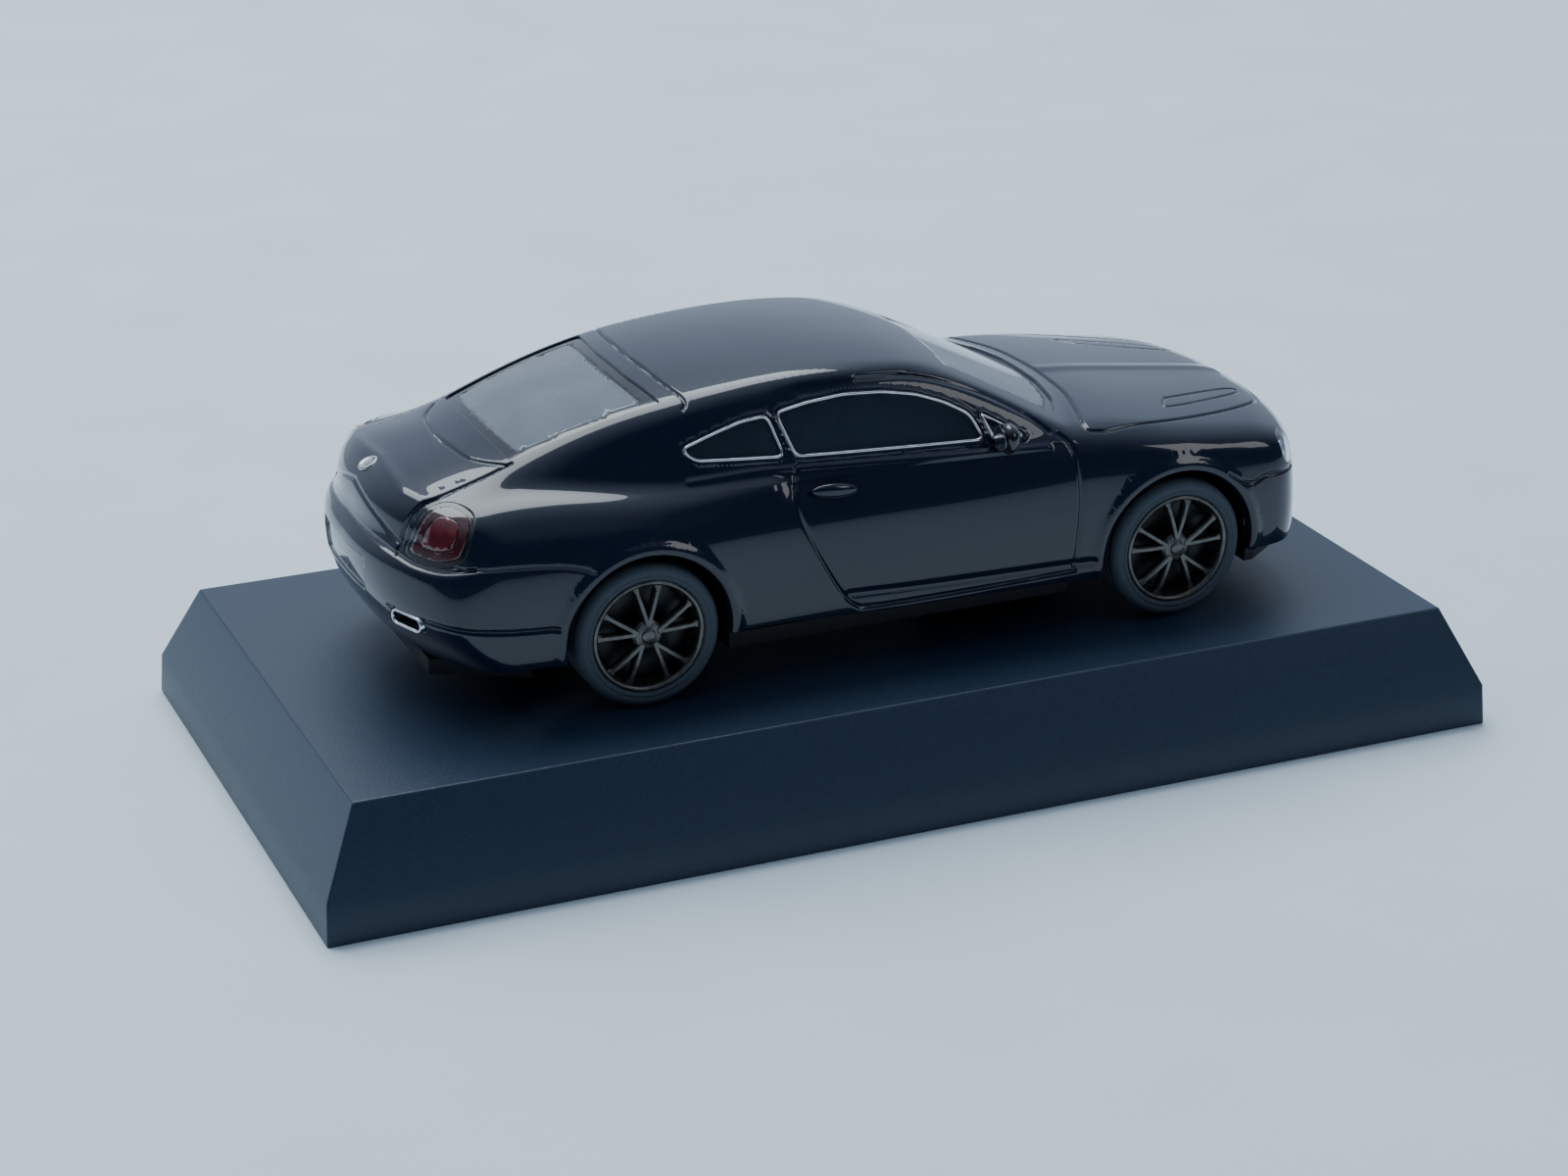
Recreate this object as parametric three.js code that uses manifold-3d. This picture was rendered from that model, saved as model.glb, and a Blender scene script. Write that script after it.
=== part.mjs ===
// Small-scale die-cast coupe on a plastic display base.
// Millimetres. +X is the car's front, +Y its left side, +Z up.
// The origin is the centre of the base's underside.

import * as THREE from "three";
import { mergeVertices } from "three/addons/utils/BufferGeometryUtils.js";
import Module from "manifold-3d";

const wasm = await Module();
wasm.setup();

// ---------------------------------------------------------------- driving dimensions

// display base
const BASE_LENGTH = 92.6;
const BASE_WIDTH = 47.3;
const BASE_HEIGHT = 9.2;
const BASE_TOP_LENGTH = 86.5;
const BASE_TOP_WIDTH = 41.9;
const BASE_RIM_HEIGHT = 3.2;
const BASE_RIM_DRAFT = 0.2;
const BASE_WALL = 1.6;
const BASE_ROOF = 1.8;
const STANDOFF_RADIUS = 3.0;
const STANDOFF_HEIGHT = 1.95;
const BASE_SCREW_X = 12;

// car, measured from the base's top
const REAR_AXLE_X = -19.1;
const FRONT_AXLE_X = 23.8;
const TYRE_RADIUS = 5.47;
const TYRE_WIDTH = 4.2;
const TYRE_TOP_GAP = 0.05;
const AXLE_Z = TYRE_RADIUS + TYRE_TOP_GAP;
const WHEEL_OUTER_Y = 14.45;
const RIM_RADIUS = 4.25;
const AXLE_RADIUS = 0.8;
const AXLE_BEARING_RADIUS = 0.86;
const ARCH_RADIUS = 6.4;
const SHELL_THICKNESS = 1.1;
const CHASSIS_BOTTOM = 2.0;
const CHASSIS_THICKNESS = 1.2;
const FIT_GAP = 0.08;

// ---------------------------------------------------------------- smooth curves

/** A natural cubic spline through (knots[i], values[i]), held flat past its ends. */
class Spline {
  constructor(knots, values) {
    this.knots = knots;
    this.values = values;
    this.bends = Spline.secondDerivatives(knots, values);
  }

  static secondDerivatives(t, v) {
    const last = t.length - 1;
    const bends = new Array(last + 1).fill(0);
    const ratio = new Array(last + 1).fill(0);
    for (let i = 1; i < last; i++) {
      const before = t[i] - t[i - 1];
      const after = t[i + 1] - t[i];
      const slope = (v[i + 1] - v[i]) / after - (v[i] - v[i - 1]) / before;
      const pivot = 2 * (before + after) - before * ratio[i - 1];
      ratio[i] = after / pivot;
      bends[i] = (6 * slope - before * bends[i - 1]) / pivot;
    }
    for (let i = last - 1; i > 0; i--) {
      bends[i] -= ratio[i] * bends[i + 1];
    }
    return bends;
  }

  at(x) {
    const t = this.knots;
    const p = Math.min(Math.max(x, t[0]), t[t.length - 1]);
    let i = 0;
    while (i < t.length - 2 && p > t[i + 1]) {
      i++;
    }
    const span = t[i + 1] - t[i];
    const a = (t[i + 1] - p) / span;
    const b = 1 - a;
    const cubic = (a ** 3 - a) * this.bends[i] + (b ** 3 - b) * this.bends[i + 1];
    return a * this.values[i] + b * this.values[i + 1] + (cubic * span * span) / 6;
  }
}

/** Half-widths given at stations along x (rows) and heights z (columns). */
class Sheet {
  constructor(stations, heights, rows) {
    this.heights = heights;
    this.columns = heights.map((_, k) => new Spline(stations, rows.map((row) => row[k])));
  }

  at(x, z) {
    return new Spline(this.heights, this.columns.map((column) => column.at(x))).at(z);
  }
}

/** The larger of two values, blended over a band of the given width. */
function smoothMax(a, b, blend) {
  const nearness = Math.max(blend - Math.abs(a - b), 0) / blend;
  return Math.max(a, b) + (nearness ** 3 * blend) / 6;
}

function smoothMin(a, b, blend) {
  return -smoothMax(-a, -b, blend);
}

// ---------------------------------------------------------------- body surface

const SIDE = new Sheet(
  [-37.5, -33, -27, -19.1, -10, 0, 10, 18, 23.8, 30, 34, 37.5],
  [1.5, 4, 7, 10, 12.5, 14.5, 16, 18],
  [
    [11.0, 12.4, 12.6, 12.6, 12.3, 11.6, 10.4, 8.5],
    [12.2, 13.6, 13.9, 13.9, 13.5, 12.7, 11.3, 9.0],
    [13.0, 14.2, 14.5, 14.6, 14.2, 13.3, 11.8, 9.3],
    [13.2, 14.5, 14.85, 14.95, 14.6, 13.7, 12.4, 10.2],
    [12.9, 14.1, 14.4, 14.4, 14.05, 13.3, 12.5, 11.3],
    [12.9, 13.9, 14.2, 14.15, 13.8, 13.1, 12.5, 11.5],
    [12.9, 13.9, 14.2, 14.15, 13.8, 13.15, 12.5, 11.6],
    [13.0, 14.1, 14.4, 14.4, 14.1, 13.4, 12.4, 11.0],
    [13.2, 14.4, 14.75, 14.8, 14.4, 13.6, 12.2, 10.0],
    [12.8, 14.1, 14.45, 14.4, 13.9, 12.9, 11.3, 9.0],
    [12.4, 13.7, 14.1, 14.0, 13.5, 12.5, 11.0, 9.0],
    [11.4, 12.7, 13.1, 13.0, 12.4, 11.4, 10.0, 8.0],
  ],
);
const TOP = new Spline(
  [-37.5, -35.5, -33, -30, -27, -19, -10, 0, 10, 17.5, 24, 30, 34, 37],
  [15.7, 16.4, 16.9, 17.4, 17.75, 17.3, 16.3, 15.7, 15.7, 16.25, 15.9, 15.2, 14.5, 13.6],
);
const TOP_DROP = new Spline(
  [-37.5, -33, -27, -19, -10, 0, 17, 24, 30, 37],
  [1.6, 1.9, 2.3, 2.0, 0.9, 0.3, 0.6, 0.8, 0.9, 1.1],
);
const NOSE = new Spline(
  [1.5, 3, 4.5, 6, 9, 11, 12.5, 14, 16],
  [35.6, 36.6, 37.3, 37.5, 37.4, 37.15, 36.7, 35.6, 33],
);
const TAIL = new Spline(
  [1.5, 3.5, 5.2, 7, 9, 10.8, 11.8, 12.6, 14, 16, 17, 18],
  [-31, -33.8, -35.6, -36.8, -37.4, -37.5, -37.3, -36.8, -36.5, -36.1, -35.6, -34.6],
);
const GLASS_SIDE = new Sheet(
  [-27, -20, -14.6, -8, 0, 8, 16],
  [15, 17, 19, 21],
  [
    [10.6, 9.3, 8.2, 7.4],
    [11.8, 10.7, 9.7, 8.8],
    [12.4, 11.5, 10.6, 9.8],
    [12.7, 11.8, 10.85, 10.0],
    [12.8, 11.9, 10.9, 10.0],
    [12.8, 11.8, 10.7, 9.6],
    [12.7, 11.6, 10.4, 9.2],
  ],
);
const ROOF = new Spline(
  [-34, -27, -20, -14.6, -8, -2, 3, 8, 12],
  [15.5, 18.3, 20.6, 21.65, 22.3, 22.4, 22.0, 21.0, 19.7],
);
const ROOF_DROP = new Spline([-27, -20, -14.6, -8, 0, 8], [1.1, 0.9, 0.75, 0.65, 0.65, 0.7]);

/** The lower body: sides, bonnet and boot, nose and tail. Negative inside. */
function lowerBody(x, y, z) {
  const out = Math.abs(y);
  const crown = TOP.at(x) - TOP_DROP.at(x) * (out / 12) ** 2.4;
  const tailCurve = (0.0055 + 0.0005 * Math.max(z - 8, 0)) * out ** 2.5;
  let field = smoothMax(out - SIDE.at(x, z), z - crown, 2.2);
  field = smoothMax(field, x - NOSE.at(z) + 0.0036 * out ** 2.6, 2.6);
  return smoothMax(field, TAIL.at(z) + tailCurve - x, 2.2);
}

/** The cabin: side glass, roof running down to the boot, and windscreen. Negative inside. */
function cabin(x, y, z) {
  const out = Math.abs(y);
  const crown = ROOF.at(x) - ROOF_DROP.at(x) * (out / 10) ** 2.2;
  const rise = 5.2;
  const run = 10.9;
  const screen = ((x - 17.9 + 0.0252 * out * out) * rise + (z - 16.1) * run) / Math.hypot(rise, run);
  const upper = smoothMax(out - GLASS_SIDE.at(x, z), z - crown, 2.0);
  const ends = Math.max(-32.5 - x, x - 19);
  return smoothMax(smoothMax(upper, screen, 1.2), ends, 2.0);
}

function bodyField(x, y, z) {
  return smoothMin(lowerBody(x, y, z), cabin(x, y, z), 0.9);
}

// ---------------------------------------------------------------- solids

/** A closed triangle mesh as a solid that can be cut and joined. */
function solidFromTriangles(vertices, triangles) {
  const mesh = new wasm.Mesh({
    numProp: 3,
    vertProperties: new Float32Array(vertices),
    triVerts: new Uint32Array(triangles),
  });
  return new wasm.Manifold(mesh);
}

function solid(geometry) {
  const bare = geometry.clone();
  bare.deleteAttribute("normal");
  bare.deleteAttribute("uv");
  const merged = mergeVertices(bare, 1e-4);
  return solidFromTriangles(merged.attributes.position.array, merged.index.array);
}

function joined(...solids) {
  return solids.reduce((sum, next) => sum.add(next));
}

function cut(from, ...tools) {
  return tools.reduce((rest, tool) => rest.subtract(tool), from);
}

function box(x0, x1, y0, y1, z0, z1) {
  const geometry = new THREE.BoxGeometry(x1 - x0, y1 - y0, z1 - z0);
  geometry.translate((x0 + x1) / 2, (y0 + y1) / 2, (z0 + z1) / 2);
  return solid(geometry);
}

function uprightCylinder(radius, x, y, z0, z1, sides = 16) {
  const geometry = new THREE.CylinderGeometry(radius, radius, z1 - z0, sides);
  geometry.rotateX(Math.PI / 2);
  geometry.translate(x, y, (z0 + z1) / 2);
  return solid(geometry);
}

function crossCylinder(radius, x, y0, y1, z, sides = 20) {
  const geometry = new THREE.CylinderGeometry(radius, radius, y1 - y0, sides);
  geometry.translate(x, (y0 + y1) / 2, z);
  return solid(geometry);
}

function outline(points) {
  return new THREE.Shape(points.map(([a, b]) => new THREE.Vector2(a, b)));
}

/** An outline in x and y, extruded upwards. */
function uprightPrism(points, z0, z1) {
  const geometry = new THREE.ExtrudeGeometry(outline(points), { depth: z1 - z0, bevelEnabled: false });
  geometry.translate(0, 0, z0);
  return solid(geometry);
}

/** An outline in x and z, extruded across the car. */
function crossPrism(points, y0, y1) {
  const geometry = new THREE.ExtrudeGeometry(outline(points), { depth: y1 - y0, bevelEnabled: false });
  geometry.rotateX(Math.PI / 2);
  geometry.translate(0, y1, 0);
  return solid(geometry);
}

/** An outline in y and z, extruded along the car. */
function alongPrism(points, x0, x1) {
  const geometry = new THREE.ExtrudeGeometry(outline(points), { depth: x1 - x0, bevelEnabled: false });
  geometry.rotateX(Math.PI / 2);
  geometry.rotateZ(Math.PI / 2);
  geometry.translate(x0, 0, 0);
  return solid(geometry);
}

/** An elliptical plug whose axis points along direction, centred on a point. */
function plug(center, direction, radiusAcross, radiusUp, length, sides = 18) {
  const geometry = new THREE.CylinderGeometry(1, 1, length, sides);
  geometry.scale(radiusAcross, 1, radiusUp);
  const forward = new THREE.Vector3(...direction).normalize();
  const across = new THREE.Vector3(0, 0, 1).cross(forward).normalize();
  const up = forward.clone().cross(across);
  geometry.applyMatrix4(new THREE.Matrix4().makeBasis(across, forward, up.negate()));
  geometry.translate(...center);
  return solid(geometry);
}

/** Rectangle corners with rounded ends, anticlockwise from the lower right. */
function roundedRectangle(halfWidth, z0, z1, radius, steps = 3) {
  const corners = [
    [halfWidth - radius, z0 + radius, -90],
    [halfWidth - radius, z1 - radius, 0],
    [-halfWidth + radius, z1 - radius, 90],
    [-halfWidth + radius, z0 + radius, 180],
  ];
  return corners.flatMap(([a, b, start]) =>
    Array.from({ length: steps + 1 }, (_, k) => {
      const angle = THREE.MathUtils.degToRad(start + (90 * k) / steps);
      return [a + radius * Math.cos(angle), b + radius * Math.sin(angle)];
    }),
  );
}

// ---------------------------------------------------------------- body solids

const SPINE_END_X = 25;
const SPINE_Z = 9;

/** Directions seen from the spine, in plan: along one side, round the tail, back, and round the nose. */
function planDirections(sideSteps, fanSteps) {
  const directions = [];
  for (let i = 0; i < sideSteps; i++) {
    directions.push({ x: SPINE_END_X - (2 * SPINE_END_X * i) / sideSteps, forward: 0, left: -1 });
  }
  for (let i = 0; i < 2 * fanSteps; i++) {
    const angle = (Math.PI * i) / (2 * fanSteps);
    directions.push({ x: -SPINE_END_X, forward: -Math.sin(angle), left: -Math.cos(angle) });
  }
  for (let i = 0; i < sideSteps; i++) {
    directions.push({ x: -SPINE_END_X + (2 * SPINE_END_X * i) / sideSteps, forward: 0, left: 1 });
  }
  for (let i = 0; i < 2 * fanSteps; i++) {
    const angle = (Math.PI * i) / (2 * fanSteps);
    directions.push({ x: SPINE_END_X, forward: Math.sin(angle), left: Math.cos(angle) });
  }
  return directions;
}

/** Where a ray from the spine leaves the body surface moved inwards by the given depth. */
function surfacePoint(start, direction, depth) {
  const point = (t) => start.map((value, axis) => value + direction[axis] * t);
  const outside = (t) => bodyField(...point(t)) > -depth;
  let near = 0;
  let far = 1;
  while (!outside(far) && far < 80) {
    near = far;
    far += 1;
  }
  for (let i = 0; i < 30; i++) {
    const middle = (near + far) / 2;
    if (outside(middle)) {
      far = middle;
    } else {
      near = middle;
    }
  }
  return point((near + far) / 2);
}

/** The closed solid inside the body surface, moved inwards by depth and open to far below the sills. */
function bodySolid(depth, sideSteps, fanSteps, tilts) {
  const plan = planDirections(sideSteps, fanSteps);
  const vertices = [];
  const rings = tilts.map((tilt) =>
    plan.map(({ x, forward, left }) => {
      const angle = THREE.MathUtils.degToRad(tilt);
      const level = Math.sin(angle);
      const direction = [forward * level, left * level, Math.cos(angle)];
      return vertices.push(surfacePoint([x, 0, SPINE_Z], direction, depth)) - 1;
    }),
  );
  const ridge = plan.map(({ x }) => vertices.push(surfacePoint([x, 0, SPINE_Z], [0, 0, 1], depth)) - 1);
  const triangles = [];
  const count = plan.length;
  const band = (low, high) => {
    for (let i = 0; i < count; i++) {
      const next = (i + 1) % count;
      triangles.push([low[i], high[next], low[next]], [low[i], high[i], high[next]]);
    }
  };
  for (let row = 0; row < rings.length - 1; row++) {
    band(rings[row], rings[row + 1]);
  }
  band(rings[rings.length - 1], ridge);
  const floor = rings[0];
  const opposite = (i) => (2 * sideSteps + 2 * fanSteps - i + count) % count;
  for (let i = -fanSteps; i < sideSteps + fanSteps; i++) {
    const here = (i + count) % count;
    const next = (i + 1 + count) % count;
    triangles.push([floor[here], floor[next], floor[opposite(here)]]);
    triangles.push([floor[next], floor[opposite(next)], floor[opposite(here)]]);
  }
  const geometry = new THREE.BufferGeometry();
  geometry.setAttribute("position", new THREE.Float32BufferAttribute(vertices.flat(), 3));
  geometry.setIndex(triangles.flat());
  return solidWithoutSlivers(geometry);
}

/** Merges equal vertices and drops the triangles that this leaves without area. */
function solidWithoutSlivers(geometry) {
  const merged = mergeVertices(geometry, 1e-4);
  const index = Array.from(merged.index.array);
  const kept = [];
  for (let i = 0; i < index.length; i += 3) {
    const [a, b, c] = index.slice(i, i + 3);
    if (a !== b && b !== c && c !== a) {
      kept.push(a, b, c);
    }
  }
  return solidFromTriangles(merged.attributes.position.array, kept);
}

const FINE_TILTS = [128, 110, 96, 84, 75, 68, 62, 57, 52, 47, 42, 36, 26, 13];
const FINE_SIDE_STEPS = 20;
const FINE_FAN_STEPS = 4;
const COARSE_TILTS = [128, 100, 80, 68, 60, 53, 46, 39, 24];
const COARSE_SIDE_STEPS = 14;
const COARSE_FAN_STEPS = 2;

const outerSkin = bodySolid(0, FINE_SIDE_STEPS, FINE_FAN_STEPS, FINE_TILTS);
const innerSkin = bodySolid(SHELL_THICKNESS, COARSE_SIDE_STEPS, COARSE_FAN_STEPS, COARSE_TILTS);
const glassLayerOuter = bodySolid(SHELL_THICKNESS + 0.15, COARSE_SIDE_STEPS, COARSE_FAN_STEPS, COARSE_TILTS);
const glassLayerInner = bodySolid(SHELL_THICKNESS + 0.6, COARSE_SIDE_STEPS, COARSE_FAN_STEPS, COARSE_TILTS);
const paneFace = bodySolid(0.35, FINE_SIDE_STEPS, FINE_FAN_STEPS, FINE_TILTS);
const lensFace = bodySolid(0.06, FINE_SIDE_STEPS, FINE_FAN_STEPS, FINE_TILTS);

// ---------------------------------------------------------------- openings in the body

const DOOR_GLASS = [
  [-6.7, 16.6],
  [8.2, 15.9],
  [7.4, 17.7],
  [5.6, 18.7],
  [3.4, 19.5],
  [0.8, 20.0],
  [-2.2, 20.2],
  [-5.2, 20.0],
  [-7.7, 19.6],
];
const QUARTER_GLASS = [
  [-14.3, 17.2],
  [-7.6, 16.7],
  [-8.4, 19.5],
  [-10.4, 19.35],
  [-12.6, 18.9],
  [-15.0, 18.0],
];
const FRONT_TRIANGLE = [
  [9.0, 15.9],
  [11.5, 15.75],
  [8.3, 17.6],
];
const WINDSCREEN = [
  [17.3, -3.0],
  [17.3, 3.0],
  [16.6, 7.0],
  [15.5, 9.7],
  [11.2, 8.8],
  [6.9, 7.7],
  [7.3, 4.0],
  [7.3, -4.0],
  [6.9, -7.7],
  [11.2, -8.8],
  [15.5, -9.7],
  [16.6, -7.0],
];
const REAR_WINDOW = [
  [-16.4, -3.0],
  [-16.4, 3.0],
  [-15.8, 8.3],
  [-21.0, 8.0],
  [-26.6, 7.3],
  [-27.2, 3.0],
  [-27.2, -3.0],
  [-26.6, -7.3],
  [-21.0, -8.0],
  [-15.8, -8.3],
];
const PANE_HEIGHTS = [15.2, 30];

/** Moves each corner of an outline towards its middle, which leaves a gap all round. */
function shrunk(points, gap) {
  const shape = outline(points);
  const size = Math.sqrt(Math.abs(THREE.ShapeUtils.area(shape.getPoints())));
  const a = points.reduce((sum, point) => sum + point[0], 0) / points.length;
  const b = points.reduce((sum, point) => sum + point[1], 0) / points.length;
  const scale = 1 - (3 * gap) / size;
  return points.map(([p, q]) => [a + (p - a) * scale, b + (q - b) * scale]);
}

function sidePanes(gap) {
  const outlines = [DOOR_GLASS, QUARTER_GLASS, FRONT_TRIANGLE];
  return outlines.flatMap((points) => [
    crossPrism(shrunk(points, gap), 7, 17),
    crossPrism(shrunk(points, gap), -17, -7),
  ]);
}

function paneOpenings(gap) {
  return [
    ...sidePanes(gap),
    uprightPrism(shrunk(WINDSCREEN, gap), ...PANE_HEIGHTS),
    uprightPrism(shrunk(REAR_WINDOW, gap), ...PANE_HEIGHTS),
  ];
}

/** One lamp on each side: position, the way it faces, half-sizes. */
const TAIL_LAMP = { center: [-33.3, 11.2, 13.8], direction: [-0.62, 0.7, 0.36], across: 2.2, up: 1.85 };
const OUTER_HEADLAMP = { center: [33.4, 12.3, 11.8], direction: [0.72, 0.68, 0.12], across: 1.25, up: 1.35 };
const INNER_HEADLAMP = { center: [35.9, 8.4, 11.4], direction: [0.96, 0.24, 0.14], across: 1.9, up: 1.8 };

function lampPlug(lamp, side, gap, length = 3.2) {
  const [x, y, z] = lamp.center;
  const [forward, left, up] = lamp.direction;
  return plug([x, y * side, z], [forward, left * side, up], lamp.across - gap, lamp.up - gap, length);
}

const MAIN_GRILLE = { halfWidth: 4.6, bottom: 8.9, top: 12.6, corner: 1.2 };
const LOWER_GRILLE = { halfWidth: 7.4, bottom: 5.1, top: 7.2, corner: 0.8 };
const PLATE_RECESS = { halfWidth: 4.2, bottom: 8.4, top: 11.0, corner: 0.3 };
const EXHAUST = { x: -35.4, y: 9.6, z: 7.0, halfWidth: 2.1, halfHeight: 0.62, turn: 20 };

function grilleOpening(grille, gap = 0) {
  const corner = grille.corner - gap;
  return roundedRectangle(grille.halfWidth - gap, grille.bottom + gap, grille.top - gap, corner);
}

/** An oval across the tail corner, as a solid of the given half-sizes and depth. */
function exhaustOval(side, halfWidth, halfHeight, front, back) {
  const points = roundedRectangle(halfWidth, -halfHeight, halfHeight, halfHeight * 0.98, 3);
  const geometry = new THREE.ExtrudeGeometry(outline(points), { depth: back - front, bevelEnabled: false });
  geometry.rotateX(Math.PI / 2);
  geometry.rotateZ(Math.PI / 2);
  geometry.translate(front, 0, 0);
  geometry.rotateZ(THREE.MathUtils.degToRad(-EXHAUST.turn * side));
  geometry.translate(EXHAUST.x, EXHAUST.y * side, EXHAUST.z);
  return solid(geometry);
}

/** The lower edge of bumpers and sills, seen from the side. */
const BODY_BELOW = [
  [-45, -20],
  [45, -20],
  [45, 4.6],
  [28, 4.6],
  [18, 4.2],
  [-12, 4.9],
  [-25, 5.0],
  [-45, 5.0],
];

const CHASSIS_SCREWS_X = { front: 32, rear: -31 };
const POST_RADIUS = 1.7;
const POST_FOOT = CHASSIS_BOTTOM + CHASSIS_THICKNESS + FIT_GAP;

function bodyShell() {
  const arches = [REAR_AXLE_X, FRONT_AXLE_X].flatMap((x) => [
    crossCylinder(ARCH_RADIUS, x, 9.6, 20, AXLE_Z, 32),
    crossCylinder(ARCH_RADIUS, x, -20, -9.6, AXLE_Z, 32),
  ]);
  const lampHoles = [TAIL_LAMP, OUTER_HEADLAMP, INNER_HEADLAMP].flatMap((lamp) => [
    lampPlug(lamp, 1, 0),
    lampPlug(lamp, -1, 0),
  ]);
  const post = (x) =>
    cut(
      uprightCylinder(POST_RADIUS, x, 0, POST_FOOT, 20, 14).intersect(paneFace),
      uprightCylinder(0.8, x, 0, 0, 9, 12),
    );
  const shell = cut(
    outerSkin,
    innerSkin,
    crossPrism(BODY_BELOW, -20, 20),
    ...arches,
    ...paneOpenings(0),
    ...lampHoles,
    alongPrism(grilleOpening(MAIN_GRILLE), 33, 42),
    alongPrism(grilleOpening(LOWER_GRILLE), 33, 42),
    alongPrism(grilleOpening(PLATE_RECESS), -42, -37.15),
    exhaustOval(1, EXHAUST.halfWidth + 0.1, EXHAUST.halfHeight + 0.1, -3, 3),
    exhaustOval(-1, EXHAUST.halfWidth + 0.1, EXHAUST.halfHeight + 0.1, -3, 3),
  );
  return joined(shell, post(CHASSIS_SCREWS_X.front), post(CHASSIS_SCREWS_X.rear));
}

function glazing() {
  const cabinSpace = box(-28.5, 17.2, -13, 13, 15.3, 26);
  const layer = glassLayerOuter.intersect(cabinSpace);
  const panes = joined(...paneOpenings(FIT_GAP)).intersect(paneFace);
  return cut(joined(layer, panes), glassLayerInner);
}

function lampLens(lamp, side) {
  return cut(lampPlug(lamp, side, FIT_GAP).intersect(lensFace), glassLayerOuter);
}

/** A flat plate behind an opening, with a grid of holes. */
function grilleInsert(grille, x0, thickness, columns, rows) {
  const bar = 0.32;
  const innerWidth = 2 * (grille.halfWidth - FIT_GAP) - 2 * bar;
  const innerHeight = grille.top - grille.bottom - 2 * FIT_GAP - 2 * bar;
  const cellWidth = (innerWidth + bar) / columns;
  const cellHeight = (innerHeight + bar) / rows;
  const left = -grille.halfWidth + FIT_GAP + bar;
  const floor = grille.bottom + FIT_GAP + bar;
  const holes = [];
  for (let i = 0; i < columns; i++) {
    for (let k = 0; k < rows; k++) {
      const y0 = left + i * cellWidth;
      const z0 = floor + k * cellHeight;
      holes.push(box(x0 - 1, x0 + thickness + 1, y0, y0 + cellWidth - bar, z0, z0 + cellHeight - bar));
    }
  }
  return cut(alongPrism(grilleOpening(grille, FIT_GAP), x0, x0 + thickness), ...holes);
}

function frontSplitter() {
  const band = box(29.9, 40, -20, 20, 3.4, 4.5);
  return cut(outerSkin.intersect(band), innerSkin, box(28, 33.2, -11, 11, 3, 5));
}

// ---------------------------------------------------------------- chassis and cabin fittings

function chassisPlate() {
  const top = CHASSIS_BOTTOM + CHASSIS_THICKNESS;
  const plan = [
    [-33.2, -7.5],
    [-26.6, -11.6],
    [-26.6, -9.4],
    [-11.6, -9.4],
    [-11.6, -12.4],
    [16.3, -12.4],
    [16.3, -9.4],
    [30.0, -9.4],
    [34.2, -8.0],
    [34.2, 8.0],
    [30.0, 9.4],
    [16.3, 9.4],
    [16.3, 12.4],
    [-11.6, 12.4],
    [-11.6, 9.4],
    [-26.6, 9.4],
    [-26.6, 11.6],
    [-33.2, 7.5],
  ];
  const bearings = [REAR_AXLE_X, FRONT_AXLE_X].flatMap((x) =>
    [-1, 1].map((side) => {
      const inner = Math.min(side * 6.6, side * 8.8);
      return box(x - 2.0, x + 2.0, inner, inner + 2.2, top - 0.2, AXLE_Z + 2.0);
    }),
  );
  const towers = [BASE_SCREW_X, -BASE_SCREW_X].map((x) => uprightCylinder(2.1, x, 0, top - 0.2, 5.4));
  const axleBores = [REAR_AXLE_X, FRONT_AXLE_X].map((x) =>
    crossCylinder(AXLE_BEARING_RADIUS, x, -12, 12, AXLE_Z, 20),
  );
  const baseScrewHoles = [BASE_SCREW_X, -BASE_SCREW_X].map((x) => uprightCylinder(1.06, x, 0, 0, 8));
  const bodyScrewHoles = Object.values(CHASSIS_SCREWS_X).flatMap((x) => [
    uprightCylinder(0.9, x, 0, 0, 8, 12),
    uprightCylinder(1.65, x, 0, 0, CHASSIS_BOTTOM + 0.75, 16),
  ]);
  const ribs = [-6.4, 6.4].map((y) =>
    box(-9.5, 14.2, y - 0.5, y + 0.5, CHASSIS_BOTTOM - 0.35, CHASSIS_BOTTOM + 0.1),
  );
  const plate = joined(uprightPrism(plan, CHASSIS_BOTTOM, top), ...bearings, ...towers, ...ribs);
  return cut(plate, ...axleBores, ...baseScrewHoles, ...bodyScrewHoles);
}

/** A round-headed screw pointing up, with a cross slot in its underside. */
function screw(x, headBottom, headRadius, headHeight, shaftRadius, shaftTop) {
  const profile = [
    [0, headBottom],
    [headRadius * 0.75, headBottom],
    [headRadius, headBottom + headHeight * 0.45],
    [headRadius, headBottom + headHeight],
    [shaftRadius, headBottom + headHeight],
    [shaftRadius, shaftTop - shaftRadius * 0.6],
    [0, shaftTop],
  ].map(([radius, z]) => new THREE.Vector2(radius, z));
  const geometry = new THREE.LatheGeometry(profile, 12);
  geometry.rotateX(Math.PI / 2);
  geometry.translate(x, 0, 0);
  const slot = headRadius * 0.16;
  const reach = headRadius * 0.62;
  const depth = headBottom + headHeight * 0.4;
  return cut(
    solidFacingOut(geometry),
    box(x - reach, x + reach, -slot, slot, headBottom - 1, depth),
    box(x - slot, x + slot, -reach, reach, headBottom - 1, depth),
  );
}

function chassisScrew(x) {
  const shaftTop = 7.5;
  return screw(x, CHASSIS_BOTTOM, 1.55, 0.7, 0.75, shaftTop);
}

function baseScrew(x) {
  const headBottom = 2.4;
  const shaftTop = BASE_HEIGHT + 4.9;
  return screw(x, headBottom, 2.1, 1.5, 1.0, shaftTop);
}

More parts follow.
